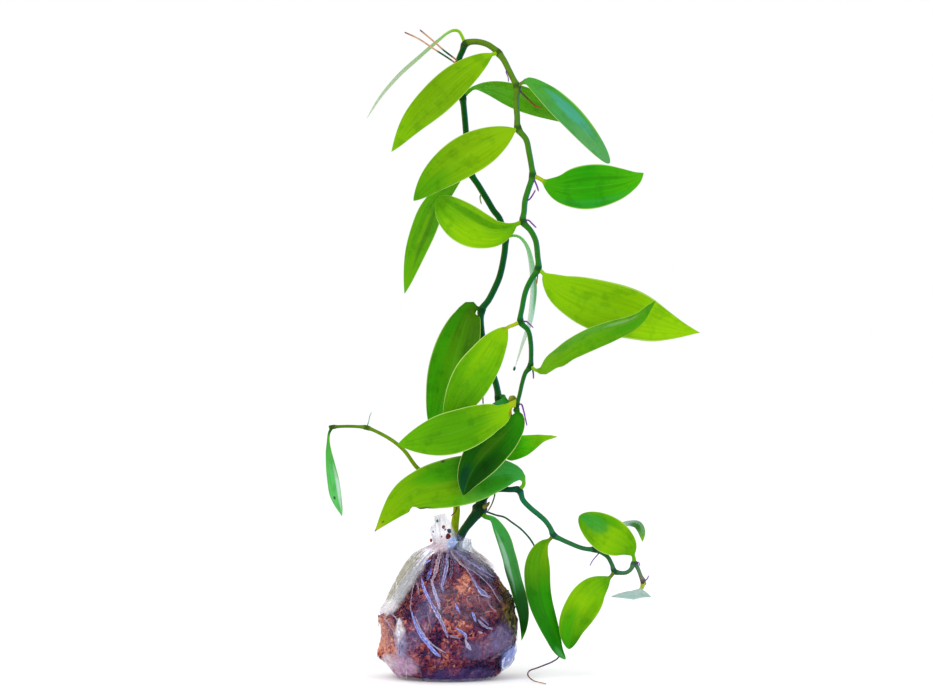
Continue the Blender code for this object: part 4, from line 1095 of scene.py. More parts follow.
def root_skin(name, stops):
    """Root: a dry skin whose colour changes from its foot to its tip."""
    made, tree, shader = skin(name, 0.7, 0.1)
    where = place_of(tree)
    colour = ramp(tree, value_of(tree, "share"), stops)
    mottle = spread(tree, grain(tree, where, 500, 3), 0.4, 0.8, 0.0, 0.4)
    tree.links.new(mixed(tree, mottle, colour, paint(60, 46, 40)), shader.inputs["Base Color"])
    bumped(tree, shader, grain(tree, where, 2500, 2), 0.4, 0.1)
    return made


def root(node, points, radii, kind):
    """A root in place of its node, uneven along its length, with a rounded tip. A kind is (skin, slot); the
    slot is not used.
    """
    path = rounded([seen(*point) for point in points], ROOT_STEP)
    total = lengths_along(path)
    share = total / total[-1]
    uneven = [1 + ROOT_UNEVENNESS * noise.noise(Vector(point) / 3) for point in path]
    thickness = np.interp(share, *zip(*radii)) * uneven
    rounding = np.sqrt(np.clip(1 - (1 - (total[-1] - total) / thickness[-1]) ** 2, 0.02, 1))
    thickness = np.where(total[-1] - total < thickness[-1], thickness * rounding, thickness)
    material, slot = kind
    put(swept(node + "_skin", path, thickness, ROOT_SIDES, material, share=share), slot, node)


DRY_ROOT = (root_skin("dry root", [
    (0.0, RUST), (0.16, TAN), (0.22, GREY_GREEN), (0.42, GREY_GREEN), (0.48, TAN), (0.85, TAN),
    (1.0, CLAY),
]), "tan_root")
PALE_ROOT = (root_skin("pale root", [
    (0.0, GREY_GREEN), (0.4, paint(150, 196, 160)), (1.0, paint(170, 206, 176)),
]), "green_root")
OLIVE_ROOT = (root_skin("olive root", [
    (0.0, GREY_GREEN), (0.4, paint(116, 140, 30)), (1.0, paint(150, 156, 90)),
]), "tan_root")
DARK_ROOT = (root_skin("dark root", [(0.0, GREY_GREEN), (0.6, paint(60, 84, 40)), (1.0, CLAY)]), "tan_root")
RUSTY_ROOT = (root_skin("rusty root", [(0.0, DUSK), (0.5, CLAY), (1.0, RUST)]), "tan_root")
PURPLE_ROOT = (root_skin("purple root", [(0.0, DUSK), (0.5, PURPLE), (1.0, PURPLE)]), "purple_root")
GREEN_ROOT = (root_skin("green root", [
    (0.0, GREY_GREEN), (0.36, paint(50, 110, 76)), (0.5, GREY_GREEN), (0.66, DUSK), (0.85, CLAY),
    (1.0, TAN),
]), "green_root")
# Each short root's points (x, z, depth), its radius at the foot and at the tip, and its kind.
ROOTS = [
    ([(9, 616, 14.5), (4.5, 619.5, 9), (-5.5, 627, 2), (-16, 636.3, -4), (-30, 648, -8)],
     1.0, 0.8, DRY_ROOT),
    ([(8.2, 611.5, 15), (5, 615, 8), (-5.5, 622.2, 0), (-16.2, 629, -4), (-30.7, 638.6, -7),
      (-45.3, 645.5, -9)],
     1.0, 0.8, DRY_ROOT),
    ([(58.5, 609, -7.5), (56.5, 606, -10), (58.6, 600, -13), (58.8, 595.5, -14.5)],
     0.6, 0.5, PURPLE_ROOT),
    ([(67.5, 591, -14), (71, 586, -18), (80, 577, -22), (86, 571.5, -24), (93, 569.8, -25)],
     1.0, 0.7, RUSTY_ROOT),
    ([(83, 502, -27), (85.5, 496, -29.5), (87.5, 491, -30), (89, 486, -30)],
     0.9, 0.8, PURPLE_ROOT),
    ([(75.5, 477, -29), (79.5, 478, -32), (83, 482.5, -33), (86, 488, -33.5)],
     0.8, 0.7, PURPLE_ROOT),
    ([(73.5, 456, -31), (78.5, 457.5, -34), (82.5, 454, -35.5), (87, 449.5, -36.5)],
     0.9, 0.7, PURPLE_ROOT),
    ([(88.5, 409, -34), (88, 402, -37.5), (87, 393, -38.5)],
     0.7, 0.6, RUSTY_ROOT),
    ([(71, 356, -36), (77, 356, -38.5), (80.5, 353, -40), (84, 349.5, -40)],
     0.9, 0.6, PURPLE_ROOT),
    ([(80.5, 311, -38), (83, 307.5, -33.5), (83.8, 303, -32), (83.8, 298.5, -32)],
     0.8, 0.7, PURPLE_ROOT),
    ([(67, 272, -40), (71.5, 273.5, -42), (74, 267, -43), (76, 258, -43.5), (77.5, 251.5, -43.5)],
     0.9, 0.6, PURPLE_ROOT),
    ([(33.3, 485, 22.7), (30.5, 481, 18.5), (31, 476.5, 17.5), (32, 473, 17.5)],
     0.8, 0.6, OLIVE_ROOT),
    ([(36, 325, 21.3), (34, 319, 16.5), (33, 297, 14), (33.5, 273, 12)],
     0.8, 0.7, PURPLE_ROOT),
    ([(150, 125.5, -8), (147.3, 122, -10.5), (143.4, 117.6, -11), (140, 111.4, -11)],
     0.6, 0.5, PURPLE_ROOT),
    ([(186, 112.5, -7.6), (189, 115.5, -11), (190.5, 111, -12)],
     0.6, 0.5, PURPLE_ROOT),
    ([(193.6, 96, -5), (197.3, 98.5, -7), (199.5, 102.5, -7)],
     0.7, 0.5, PURPLE_ROOT),
    ([(45, 187, -8), (45, 182, -12.5), (42, 173, -14.5), (38, 166, -14.5)],
     0.8, 0.6, DARK_ROOT),
    ([(7, 173, 8), (7.5, 171.5, 3), (5, 165, 2), (1, 161.5, 2.5)],
     0.6, 0.5, RUSTY_ROOT),
    ([(-83, 250, 2), (-80.8, 256.5, 1), (-80, 261, 0), (-78, 265.5, 0)],
     0.6, 0.5, PALE_ROOT),
]
for number, (points, foot, tip, kind) in enumerate(ROOTS, 1):
    root(f"aerial_root_{number:02d}", points, [(0, foot), (1, tip)], kind)
root("aerial_root_long", [
    (29.5, 168.5, -2), (38, 165.5, 3), (46.5, 162.5, 3), (54.5, 160.5, 2), (62, 155.5, 2), (73, 147, 2),
    (84, 133, 4), (92, 107, 6), (100, 77, 7), (107, 47, 7), (110, 29, 5), (109, 20.5, 4), (103, 16, 2),
    (96, 13, 0), (87, 9.5, -5), (81, 7.5, -10), (78.5, 5, -18), (79, 1, -34), (84, -3, -48),
    (91, -5, -58), (97, -6.3, -68),
], [(0, 1.0), (0.3, 0.9), (0.7, 0.75), (1, 0.55)], GREEN_ROOT)


# Two buds: the vine's growing tip, a blunt olive point, and a bud at the lowest joint. The thin leaf
# that hangs behind the vine ends in a dry dark bead of its own tissue.
BEAD_LINE = [(65.3, 311.2, 15), (64.3, 306.8, 15)]
BEAD_RADIUS = 1.3
BEAD_STEP = 0.3
BEAD_END = 0.98
TIP_SKIN = root_skin("growing tip", [
    (0.0, paint(90, 100, 20)), (0.5, paint(120, 128, 40)), (1.0, paint(150, 160, 50)),
])
BUD_SKIN = root_skin("lowest bud", [
    (0.0, paint(30, 60, 20)), (0.5, paint(140, 146, 50)), (1.0, paint(90, 50, 44)),
])
BEAD_SKIN = root_skin("dry leaf tip", [
    (0.0, paint(24, 104, 80)), (0.5, paint(4, 66, 56)), (1.0, paint(20, 90, 80)),
])
root("vine_growing_tip", [(67, 275, -38), (63, 278, -34), (60, 281.5, -33)],
     [(0, 2.2), (0.5, 4.0), (0.8, 4.2), (1, 3.0)], (TIP_SKIN, "young_stem"))
root("vine_lowest_bud", [(31, 169, -3), (37.5, 172.5, -12), (40, 176, -14)],
     [(0, 2.2), (0.6, 2.0), (1, 0.8)], (BUD_SKIN, "young_stem"))
bead_path = rounded([seen(*point) for point in BEAD_LINE], BEAD_STEP)
bead_run = np.linspace(-BEAD_END, BEAD_END, len(bead_path))
bead_radii = BEAD_RADIUS * np.sqrt(1 - bead_run ** 2)
put(swept("leaf_tip_bead", bead_path, bead_radii, ROOT_SIDES, BEAD_SKIN, share=bead_run), "leaf")


# The bag is one clear film sleeve, filled, gathered at the neck and tied, with its edge left as a
# ruffle that stands up in front. The film hugs the bark; it is cloudy where it is doubled or rubbed.
FILM_SIDES = 230
FILM_STEP = 1.7
FILM_WALL = 0.25
FILM_CLEARANCE = 0.45
PRESSED_FLAT = 0.15
# The film's rings from the bottom up: height, half width, shift to the right, depth of its gathers,
# and how much of the ruffle's rise it has.
FILM_RINGS = [
    (0, 12, -1.5, 0, 0), (0, 46, -1.5, 0, 0), (3, 53, -2, 0, 0), (8, 57, -1.5, 0, 0),
    (13, 62, -0.5, 0, 0), (18, 66, -1.5, 0, 0), (22, 70, -4, 0, 0), (27, 71, -3.5, 0, 0),
    (36, 70.5, -1, 0, 0), (50, 71, -1, 0, 0), (61, 71.5, -1.5, 0, 0), (69, 69.2, -0.2, 0.1, 0),
    (78, 65.4, 1, 0.3, 0), (87, 60.2, 0.8, 0.5, 0), (97.5, 53.8, -0.2, 0.8, 0), (107, 47.5, -1, 1.0, 0),
    (114, 42.5, -1.2, 1.1, 0), (121, 35.5, -2, 1.2, 0), (126, 29.5, -3.2, 1.1, 0),
    (131, 21.5, -0.8, 0.8, 0), (134.5, 18, 2.3, 0.4, 0), (138.5, 18, 2.3, 0.4, 0),
    (138.5, 17.6, 1.2, 0.8, 0.25), (138.5, 15.5, -1.5, 1.8, 0.6), (138.5, 13.8, -3, 2.6, 1.0),
]
RUFFLE_LOW = 1.5
RUFFLE_HIGH = 27.0
RUFFLE_PEAK = 4.28
RUFFLE_BREADTH = 1.05
RAGGED = 4.0
GATHERS = 10
PLEATS = 26
PLEAT_HEIGHT = 1.5
CRUMPLE = 0.9
CRUMPLE_SIZE = 14
FINE_CRUMPLE = 0.7
FINE_CRUMPLE_SIZE = 6
pleat_draw = np.random.default_rng(8)
# Each pleat's angle round the neck, its width, how far down it runs and how it swings on the way.
PLEAT_PLACES = [
    (2 * math.pi * (i + pleat_draw.uniform(-0.35, 0.35)) / PLEATS, pleat_draw.uniform(0.05, 0.12),
     pleat_draw.uniform(24, 60), pleat_draw.uniform(-0.25, 0.25))
    for i in range(PLEATS)
]
NECK_HEIGHT = 136.5
# Of these film tints, gleam, sky, blue, cobalt, lilac and pale are painted highlights and reflections, and
# dark and violet are painted shade.
TINTS = {
    "milk": (0.86, 0.86, 0.9), "white": (0.66, 0.61, 0.65), "pale": (0.45, 0.4, 0.6),
    "pink": (0.43, 0.29, 0.36), "blush": (0.6, 0.46, 0.53), "rose": (0.68, 0.4, 0.62),
    "lilac": (0.25, 0.22, 0.48), "blue": (0.22, 0.27, 0.78), "lavender": (0.14, 0.1, 0.26),
    "violet": (0.05, 0.025, 0.2), "cobalt": (0.07, 0.07, 0.6), "dark": (0.03, 0.02, 0.1),
    "gleam": (0.32, 0.5, 0.95), "sky": (0.14, 0.2, 0.55), "grey": (0.17, 0.17, 0.27),
    "dusk": (0.31, 0.25, 0.24), "olive": (0.3, 0.28, 0.17), "smoke": (0.36, 0.37, 0.38),
    "bare": (0.3, 0.24, 0.6), "haze": (0.6, 0.7, 0.8),
}
BARE_SHARE = 0.015
SWIRL = 3.0
SWIRL_SIZE = 9
WISP_SIZE = 4.5
SEAM = 12
# Cloudy places and painted light on the film, as seen from the front: (x, z), half length, half breadth,
# lean, share, tint. The white place at (-50, 46) is a painted glare, the gleam at the neck a painted
# highlight, the sky tint at the right corner a painted reflection, and the violet band along the bottom
# painted shade.
CLOUDS_AND_PAINTED_LIGHT = [
    ((-47, 101), 40, 8, 56, 0.75, "olive"), ((-42, 95), 38, 7, 56, 0.75, "smoke"),
    ((-61, 69), 12, 7, 20, 0.8, "white"), ((-50, 46), 16, 6, 95, 0.9, "white"),
    ((16, 132), 10, 8, 65, 0.6, "haze"), ((-49, 11), 22, 13, -10, 0.5, "rose"),
    ((-61, 16), 11, 8, -45, 0.75, "blush"), ((-49, 30), 17, 8, 80, 0.3, "pale"),
    ((51, 38), 20, 16, 60, 0.45, "lavender"), ((30, 29), 28, 13, 15, 0.28, "lavender"),
    ((60, 20), 17, 8, 58, 0.9, "sky"), ((10, 1), 50, 11, 3, 0.3, "violet"),
    ((-63, 45), 10, 24, 0, 0.12, "pink"), ((-10, 133), 17, 10, 0, 0.8, "blush"),
    ((3, 134), 7, 6, 60, 0.85, "gleam"), ((-9, 150), 18, 16, 100, 0.42, "milk"),
    ((22, 117), 34, 12, -33, 0.34, "grey"), ((30, 121), 15, 6, -33, 0.5, "dusk"),
    ((-25, 60), 60, 14, 62, 0.12, "lilac"), ((16, 75), 40, 30, 0, 0.06, "pink"),
]
cloud_draw = np.random.default_rng(21)
BACK_TINTS = ("rose", "lavender", "pale")
BACK_CLOUDS = [
    ((cloud_draw.uniform(-55, 55), cloud_draw.uniform(12, 100)), cloud_draw.uniform(10, 30),
     cloud_draw.uniform(4, 12), cloud_draw.uniform(20, 160), cloud_draw.uniform(0.25, 0.5),
     BACK_TINTS[i % len(BACK_TINTS)])
    for i in range(12)
]


def crease_at(angle, height):
    """How sharply the film is creased here, 0 to 1, by the pleats that run down from the neck."""
    best = 0.0
    below = NECK_HEIGHT - height
    for place, width, reach, swing in PLEAT_PLACES:
        middle = place + swing * below / 100
        away = abs((angle - middle + math.pi) % (2 * math.pi) - math.pi)
        if away < width:
            fade = max(0.0, 1 - abs(below) / reach)
            best = max(best, fade ** 0.7 * (1 - away / width) ** 1.6)
    return best


def cloudiness_and_painted_light(point, crease, ruffled):
    """The film's colour and share of cover at a point, with its painted highlights and shade: red, green,
    blue, share.
    """
    scale = 1 + point[1] / EYE[1]
    swirl = [SWIRL * noise.noise(Vector(point) / SWIRL_SIZE + Vector((shift, 0, 0))) for shift in (0, 31)]
    x = EYE[0] + (point[0] - EYE[0]) / scale + swirl[0]
    z = EYE[2] + (point[2] - EYE[2]) / scale + swirl[1]
    wisp = max(0.4, 0.95 + 0.9 * noise.noise(Vector(point) / WISP_SIZE))
    front = point[1] < 0
    seam = min(1.0, max(0.0, (SEAM - point[1] if front else point[1]) / SEAM))
    colour = np.array(TINTS["bare"])
    clear = 1 - BARE_SHARE
    for middle, half_length, half_breadth, lean, share, tint in (CLOUDS_AND_PAINTED_LIGHT if front else BACK_CLOUDS):
        lean = math.radians(lean)
        away = (x - middle[0], z - middle[1])
        run = (away[0] * math.cos(lean) + away[1] * math.sin(lean)) / half_length
        off = (away[1] * math.cos(lean) - away[0] * math.sin(lean)) / half_breadth
        inside = max(0.0, 1 - run * run - off * off)
        cover = share * seam * wisp * min(1.0, 1.7 * inside ** 1.8)
        weight = min(1.0, cover / (cover + 0.3 * (1 - clear) + 1e-6))
        colour = colour + (np.array(TINTS[tint]) - colour) * weight
        clear *= 1 - min(0.95, cover)
    # Creases and crumple ridges get a painted lilac highlight.
    cover = 0.3 * crease * wisp
    colour = colour + (np.array(TINTS["lilac"]) - colour) * min(1.0, cover / (cover + 1.01 - clear))
    clear *= (1 - cover) * (1 - 0.1 * ruffled)
    return (*colour, 1 - clear)


def film_ring(height, half_width, shift, pleat, rise):
    """One ring of the film, with the colour and the cover of each point."""
    points, covers = [], []
    for angle in ring_of(FILM_SIDES):
        from_peak = (angle - RUFFLE_PEAK + math.pi) % (2 * math.pi) - math.pi
        tall = RUFFLE_LOW + (RUFFLE_HIGH - RUFFLE_LOW) * math.exp(-((from_peak / RUFFLE_BREADTH) ** 2))
        round_neck = Vector((3 * math.cos(angle), 3 * math.sin(angle), 7))
        tall += RAGGED * min(1.0, tall / 10) * noise.noise(round_neck)
        level = height + rise * tall
        crease = crease_at(angle, level) if height > 1 else 0.0
        crease *= min(1.0, 0.25 + abs(angle - math.pi / 6) / 1.6)
        gathered = pleat * (min(1.0, 0.1 + tall / 14) if rise else 1.0)
        reach = half_width + gathered * math.cos(GATHERS * angle + 2 * rise * math.sin(3 * angle))
        probe = Vector((math.cos(angle) * reach, math.sin(angle) * reach, level))
        soft = min(1.0, height / 12) * min(1.0, max(0.0, NECK_HEIGHT - 8 - height) / 30)
        crumple = 1 - abs(noise.noise(probe / CRUMPLE_SIZE)) * 3
        reach += soft * (CRUMPLE * crumple - 0.6 + FINE_CRUMPLE * noise.noise(probe / FINE_CRUMPLE_SIZE))
        reach += crease * PLEAT_HEIGHT * (1.0 if rise == 0 else 0.6)
        points.append((shift + reach * math.cos(angle), DEPTH_OF_BAG * reach * math.sin(angle), level))
        # Creases and the peaks of crumples are kept for the painted lilac highlight.
        fine = max(crease, soft * max(0.0, crumple - 0.86) * 2.2)
        covers.append(cloudiness_and_painted_light(points[-1], fine, min(1.0, rise * 3)))
    return points, covers


def film_skin(name, cover, colour=None, roughness=0.16):
    """Clear film: its colour is the point's own, which carries painted highlights, reflections and shade,
    and `cover` makes the share that hides what is behind.
    """
    made, tree, shader = skin(name, roughness, 0.5)
    own = add(tree, "ShaderNodeAttribute", attribute_name="film").outputs["Color"]
    tree.links.new(colour(tree, own) if colour else own, shader.inputs["Base Color"])
    tree.links.new(cover(tree), shader.inputs["Alpha"])
    bumped(tree, shader, grain(tree, place_of(tree), 160, 2), 0.3, 0.4)
    return made


def film_cover(tree):
    """The share that the film hides: the point's own, broken by fine wrinkles."""
    wrinkles = spread(tree, grain(tree, place_of(tree), 200, 3, 0.5), 0.3, 0.7, 0.75, 1.15)
    return sums(tree, "MINIMUM", sums(tree, "MULTIPLY", value_of(tree, "cover"), wrinkles), 1.0)


def coloured(piece, colours):
    """Gives each point of the piece its film colour."""
    flat = np.array([(*colour[:3], 1.0) for colour in colours]).reshape(-1)
    piece.data.attributes.new("film", "FLOAT_COLOR", "POINT").data.foreach_set("color", flat)


FILM = film_skin("clear film", film_cover)
film_rows = [film_ring(*ring) for ring in rounded(FILM_RINGS, FILM_STEP)]
film_covers = [row[1] for row in film_rows]
film = loft("bag_film", [[row[0] for row in film_rows]], {
    "cover": [[[cover[3] for cover in row] for row in film_covers]],
}, closed_ends=False)
coloured(film, [cover for row in film_covers for cover in row])
film.data.materials.append(FILM)
bottom = bmesh.new()
bottom.from_mesh(film.data)
low_rim = [edge for edge in bottom.edges if edge.is_boundary and edge.verts[0].co.z < 1 * MM]
bmesh.ops.holes_fill(bottom, edges=low_rim)
bottom.to_mesh(film.data)
bottom.free()
film_surface = BVHTree.FromPolygons(
    [vert.co / MM for vert in film.data.vertices], [tuple(face.vertices) for face in film.data.polygons])
# The film holds the loose bits in: whatever would stick out is pressed flat against its inside.
for name in LOOSE_BITS:
    for vert in bpy.data.objects[name].data.vertices:
        place, facing, _, _ = film_surface.find_nearest(vert.co / MM)
        past = (vert.co / MM - place).dot(facing) + FILM_CLEARANCE
        if past > 0:
            vert.co = (place + facing * (PRESSED_FLAT * (1 - math.exp(-past)) - FILM_CLEARANCE)) * MM
wall = film.modifiers.new("wall", "SOLIDIFY")
wall.thickness = FILM_WALL * MM
wall.offset = -1.0
put(film, "film", "bag")


# Folds are thin doubled strips of the film that catch the light. They lie on its outside, from the
# neck downwards, pink where the bark shows through them. Their blue, cobalt, lilac, pale and milk
# tints are painted highlights and reflections, and their dark tint is painted shade.
FOLD_STEP = 1.2
FOLD_THICKNESS = 0.35
FOLD_RAGGED = 0.7
FOLD_NOTCH = 2.5
FOLD_COVER = 0.75
# Where the five corners of a fold's cross-section lie, from its left edge to its right one and back
# over its raised top.
FOLD_ACROSS = [-1.0, 0.0, 1.0, 0.4, -0.4]
# The milk fold low on the left is a painted glare.
# Each fold's tint, its share of cover, and its line as seen from the front: (x, z, half width).
FRONT_FOLDS = [
    ("pink", 0.5, [(-26.5, 113, 0.4), (-33.5, 102.5, 0.6), (-36.5, 90.5, 0.6), (-38.5, 78, 0.6),
                   (-39, 67, 0.6)]),
    ("blue", 0.85, [(-38.5, 67, 0.4), (-36, 59, 1.1), (-32, 49, 1.6), (-26.5, 39.5, 1.8),
                    (-20, 31.5, 2.0), (-14.5, 25, 1.7), (-9, 21, 0.6)]),
    ("pale", 0.75, [(-34.5, 61, 0.4), (-28.5, 47.5, 0.7), (-22.5, 38.5, 0.7), (-16.5, 32.5, 0.7),
                    (-8, 27, 0.5), (-4, 25, 0.3)]),
    ("blue", 0.85, [(-28, 99.5, 0.4), (-26.5, 92.5, 1.2), (-23.5, 84.5, 1.5), (-19.5, 76, 1.6)]),
    ("lilac", 0.85, [(-21.5, 80.5, 0.8), (-15.5, 69, 2.0), (-10, 60, 1.9), (-6, 50.5, 1.4),
                     (-3, 43.5, 0.9), (-1.5, 39.5, 0.4)]),
    ("pale", 0.8, [(-18.5, 98.5, 0.5), (-17, 92.5, 1.3), (-14.5, 84.5, 1.6), (-11.5, 76, 1.5),
                   (-10, 68, 0.8)]),
    ("blue", 0.8, [(-18, 93.5, 0.4), (-14.5, 84.5, 0.6), (-9, 76, 0.5)]),
    ("pink", 0.6, [(-10, 128, 1.4), (-10.5, 121, 2.0), (-12.5, 113, 2.0), (-14.5, 104.5, 1.6),
                   (-16.5, 98.5, 1.2), (-17.5, 92.5, 0.6)]),
    ("dark", 0.6, [(-6.5, 125, 0.8), (-7.5, 114, 1.1), (-9, 101.5, 0.9), (-10, 90.5, 0.9),
                   (-11, 82.5, 0.5)]),
    ("lilac", 0.8, [(-1.5, 127, 0.8), (-2.5, 119, 1.3), (-3, 111, 1.7), (-4.5, 103.5, 1.9),
                    (-6.5, 96.5, 1.5), (-7.5, 90.5, 1.1), (-6.5, 85.5, 0.5)]),
    ("dark", 0.55, [(0.5, 125, 0.6), (1.5, 117, 0.9), (2, 107, 1.2), (0, 99.5, 0.9)]),
    ("blue", 0.85, [(-25, 113.5, 0.6), (-22, 116, 1.5), (-18.5, 118, 0.7)]),
    ("cobalt", 0.5, [(-18, 109.5, 0.6), (-20, 103.5, 1.7), (-22.5, 97.5, 0.6)]),
    ("pink", 0.7, [(1, 126.5, 0.8), (5, 121, 1.1), (10, 115, 1.1), (16.5, 109, 0.9), (21, 102.5, 0.7)]),
    ("lilac", 0.8, [(21, 102.5, 0.5), (25.5, 94.5, 1.1), (29.5, 88.5, 2.4), (33.5, 84.5, 3.5),
                    (37.5, 82, 2.0), (41.5, 80.5, 0.4)]),
    ("blue", 0.7, [(24.5, 97.5, 0.4), (28.5, 90.5, 0.8), (32.5, 84.5, 0.9), (35.5, 81.5, 0.5)]),
    ("lilac", 0.7, [(5, 127.5, 1.0), (12, 121.5, 1.5), (20.5, 115.5, 1.5), (30.5, 109.5, 1.3),
                    (39, 104, 0.9), (44.5, 100, 0.4)]),
    ("dark", 0.7, [(5.5, 129.5, 0.6), (15.5, 123.5, 0.8), (25.5, 117, 0.8), (34.5, 112, 0.7),
                   (43.5, 104.5, 0.4)]),
    ("grey", 0.7, [(8, 131, 0.6), (18.5, 125.5, 1.0), (28.5, 119, 1.0), (37.5, 112.5, 0.9),
                   (44.5, 106.5, 0.5)]),
    ("pale", 0.5, [(12, 113, 0.3), (22.5, 107, 0.5), (32.5, 99.5, 0.5), (41, 90.5, 0.5), (46, 82.5, 0.5),
                   (50.5, 75, 0.3)]),
    ("lilac", 0.6, [(27.5, 107, 0.4), (34.5, 102.5, 0.8), (43, 98, 0.4)]),
    ("blue", 0.8, [(5.5, 74.5, 0.4), (7, 70.5, 1.1), (9, 67, 1.0), (11, 63.5, 0.3)]),
    ("blue", 0.8, [(22.5, 65.5, 0.7), (24, 62, 1.3), (25.5, 58, 0.9), (26.5, 55.5, 0.3)]),
    ("lilac", 0.75, [(28.5, 58, 0.5), (31.5, 54.5, 1.1), (35.5, 51, 1.2), (41, 49, 0.8),
                     (43.5, 48.5, 0.3)]),
    ("lilac", 0.6, [(30.5, 61, 0.4), (34.5, 57, 0.8), (39, 52.5, 0.5)]),
    ("blue", 0.85, [(6, 50, 0.4), (10, 47, 1.3), (15, 43.5, 1.2), (17, 39, 0.8)]),
    ("pale", 0.85, [(16, 40.5, 0.6), (16.5, 35.5, 1.2), (18.5, 31.5, 1.9), (21.5, 27.5, 0.6)]),
    ("cobalt", 0.8, [(10, 47, 0.5), (12.5, 44.5, 0.8), (15, 43.5, 0.4)]),
    ("pale", 0.5, [(28.5, 46.5, 0.5), (30.5, 45, 1.4), (33, 44.5, 0.5)]),
    ("lilac", 0.5, [(-2, 42.5, 0.4), (4, 41, 0.9), (10.5, 39, 0.5)]),
    ("pale", 0.6, [(-16.5, 126.5, 0.7), (-22.5, 122, 0.9), (-28.5, 115, 0.9), (-33.5, 107, 0.8),
                   (-39, 99, 0.8), (-45, 90.5, 0.6), (-51, 80.5, 0.6), (-56, 69, 0.4)]),
    ("dusk", 0.5, [(-24.5, 127, 0.5), (-33.5, 118, 0.5), (-45, 103.5, 0.5), (-55, 89.5, 0.5),
                   (-63.5, 77, 0.5), (-68, 70, 0.3)]),
    ("pink", 0.55, [(-26, 122.5, 0.4), (-35.5, 111.5, 0.5), (-46, 97.5, 0.6), (-56, 84.5, 0.6),
                    (-65, 71.5, 0.4)]),
    ("pale", 0.5, [(-69.5, 66, 0.4), (-65.5, 60, 0.6), (-60, 52.5, 0.7), (-56, 45.5, 0.7),
                   (-54, 36.5, 0.9), (-50, 28.5, 0.5)]),
    ("pale", 0.5, [(-62.5, 67.5, 0.4), (-55, 61, 0.7), (-52, 57.5, 0.8)]),
    ("milk", 0.9, [(-50, 59.5, 0.5), (-52, 52.5, 1.2), (-50.5, 45, 1.6), (-51, 39.5, 1.0),
                   (-51, 35, 0.5)]),
    ("white", 0.55, [(-43.5, 17.5, 0.5), (-43, 7, 0.8), (-43.5, -4, 0.5)]),
    ("lilac", 0.5, [(-46.5, 40.5, 0.5), (-49, 34.5, 1.6), (-50, 27, 1.6), (-49, 21, 0.6)]),
    ("pink", 0.5, [(-41.5, 18.5, 0.5), (-34.5, 12, 0.9), (-28, 4, 0.4)]),
    ("dark", 0.55, [(62.5, 30.5, 0.5), (55, 25.5, 1.1), (47, 21, 1.2), (39.5, 16, 0.6)]),
    ("pink", 0.4, [(-22.5, 66, 0.4), (-20.5, 56, 0.5), (-22.5, 47.5, 0.4)]),
    ("lilac", 0.5, [(37.5, 76, 0.4), (42, 70, 0.7), (47, 66, 0.4)]),
    ("pink", 0.45, [(-34.5, 98.5, 0.4), (-31.5, 90.5, 0.6), (-30.5, 82.5, 0.4)]),
]
BACK_FOLDS = 26
FOLD_TINTS = ("blue", "lilac", "pale", "pink")
fold_draw = np.random.default_rng(14)
EYE_PLACE = (EYE[0], -EYE[1], EYE[2])


def film_hit(x, z, from_back):
    """Where the film's outside is met at (x, z), as seen from the front or from right behind."""
    if from_back:
        start = Vector((x, 400, z))
        way = Vector((0, -1, 0))
    else:
        start = Vector(seen(x, z, -200))
        way = (Vector((x, 0, z)) - Vector(EYE_PLACE)).normalized()
    place, facing, _, _ = film_surface.ray_cast(start, way)
    return (None, None) if place is None else (np.array(place), np.array(facing))


def fold_strand(line, from_back=False):
    """A thin ragged strand of film along the line, laid on the film: its rings and their values."""
    flat = rounded(line, FOLD_STEP)
    hits = [(*film_hit(x, z, from_back), half) for x, z, half in flat]
    hits = [hit for hit in hits if hit[0] is not None]
    rings, across, along = [], [], []
    for i, (place, facing, half) in enumerate(hits):
        ahead = hits[min(i + 1, len(hits) - 1)][0] - hits[max(i - 1, 0)][0]
        side = unit(np.cross(ahead, facing))
        left, right = (
            half * (1.2 + FOLD_RAGGED * noise.noise(Vector(place) / FOLD_NOTCH + Vector((shift, 0, 0))))
            for shift in (0, 40))
        rise = FOLD_THICKNESS * facing
        rings.append([place - side * left, place - rise * 0.2, place + side * right,
                      place + side * right * 0.4 + rise, place - side * left * 0.4 + rise])
        across.append(FOLD_ACROSS)
        along.append([i * FOLD_STEP + 7 * line[0][0]] * len(FOLD_ACROSS))
    return rings, across, along


strands = [(tint, cover, fold_strand(line)) for tint, cover, line in FRONT_FOLDS]
for _ in range(BACK_FOLDS):
    x, z = fold_draw.uniform(-45, 45), fold_draw.uniform(24, 118)
    x *= min(1.0, (135 - z) / 55)
    lean, long = fold_draw.uniform(-0.35, 0.35) + x / 90, fold_draw.uniform(8, 34)
    bend, half = fold_draw.uniform(-3, 3), fold_draw.uniform(0.8, 2.0)
    middle = (x + lean * long / 2 + bend, z - long / 2, half)
    line = [(x, z, 0.4), middle, (x + lean * long, max(4.0, z - long), 0.4)]
    tint = FOLD_TINTS[int(fold_draw.integers(len(FOLD_TINTS)))]
    strands.append((tint, FOLD_COVER, fold_strand(line, True)))


def streaked(tree, own):
    """A fold's colour: its own, in streaks of painted shade and painted highlight that run along it, and
    lighter towards its edges as a painted highlight.
    """
    stretched = vector_of(
        tree, sums(tree, "MULTIPLY", value_of(tree, "across"), 1.5),
        sums(tree, "MULTIPLY", value_of(tree, "along"), 0.22))
    streak = grain(tree, stretched, 1.6, 3, 0.6)
    rim_highlight = spread(tree, sums(tree, "ABSOLUTE", value_of(tree, "across")), 0.25, 0.7, -0.08, 0.12)
    streak = sums(tree, "ADD", streak, rim_highlight)
    dark = mixed(tree, 1.0, own, (0.42, 0.38, 0.62, 1.0), "MULTIPLY")
    light = mixed(tree, 0.5, own, (0.9, 0.88, 0.98, 1.0))
    middle = mixed(tree, spread(tree, streak, 0.38, 0.5), dark, own)
    return mixed(tree, spread(tree, streak, 0.52, 0.64), middle, light)


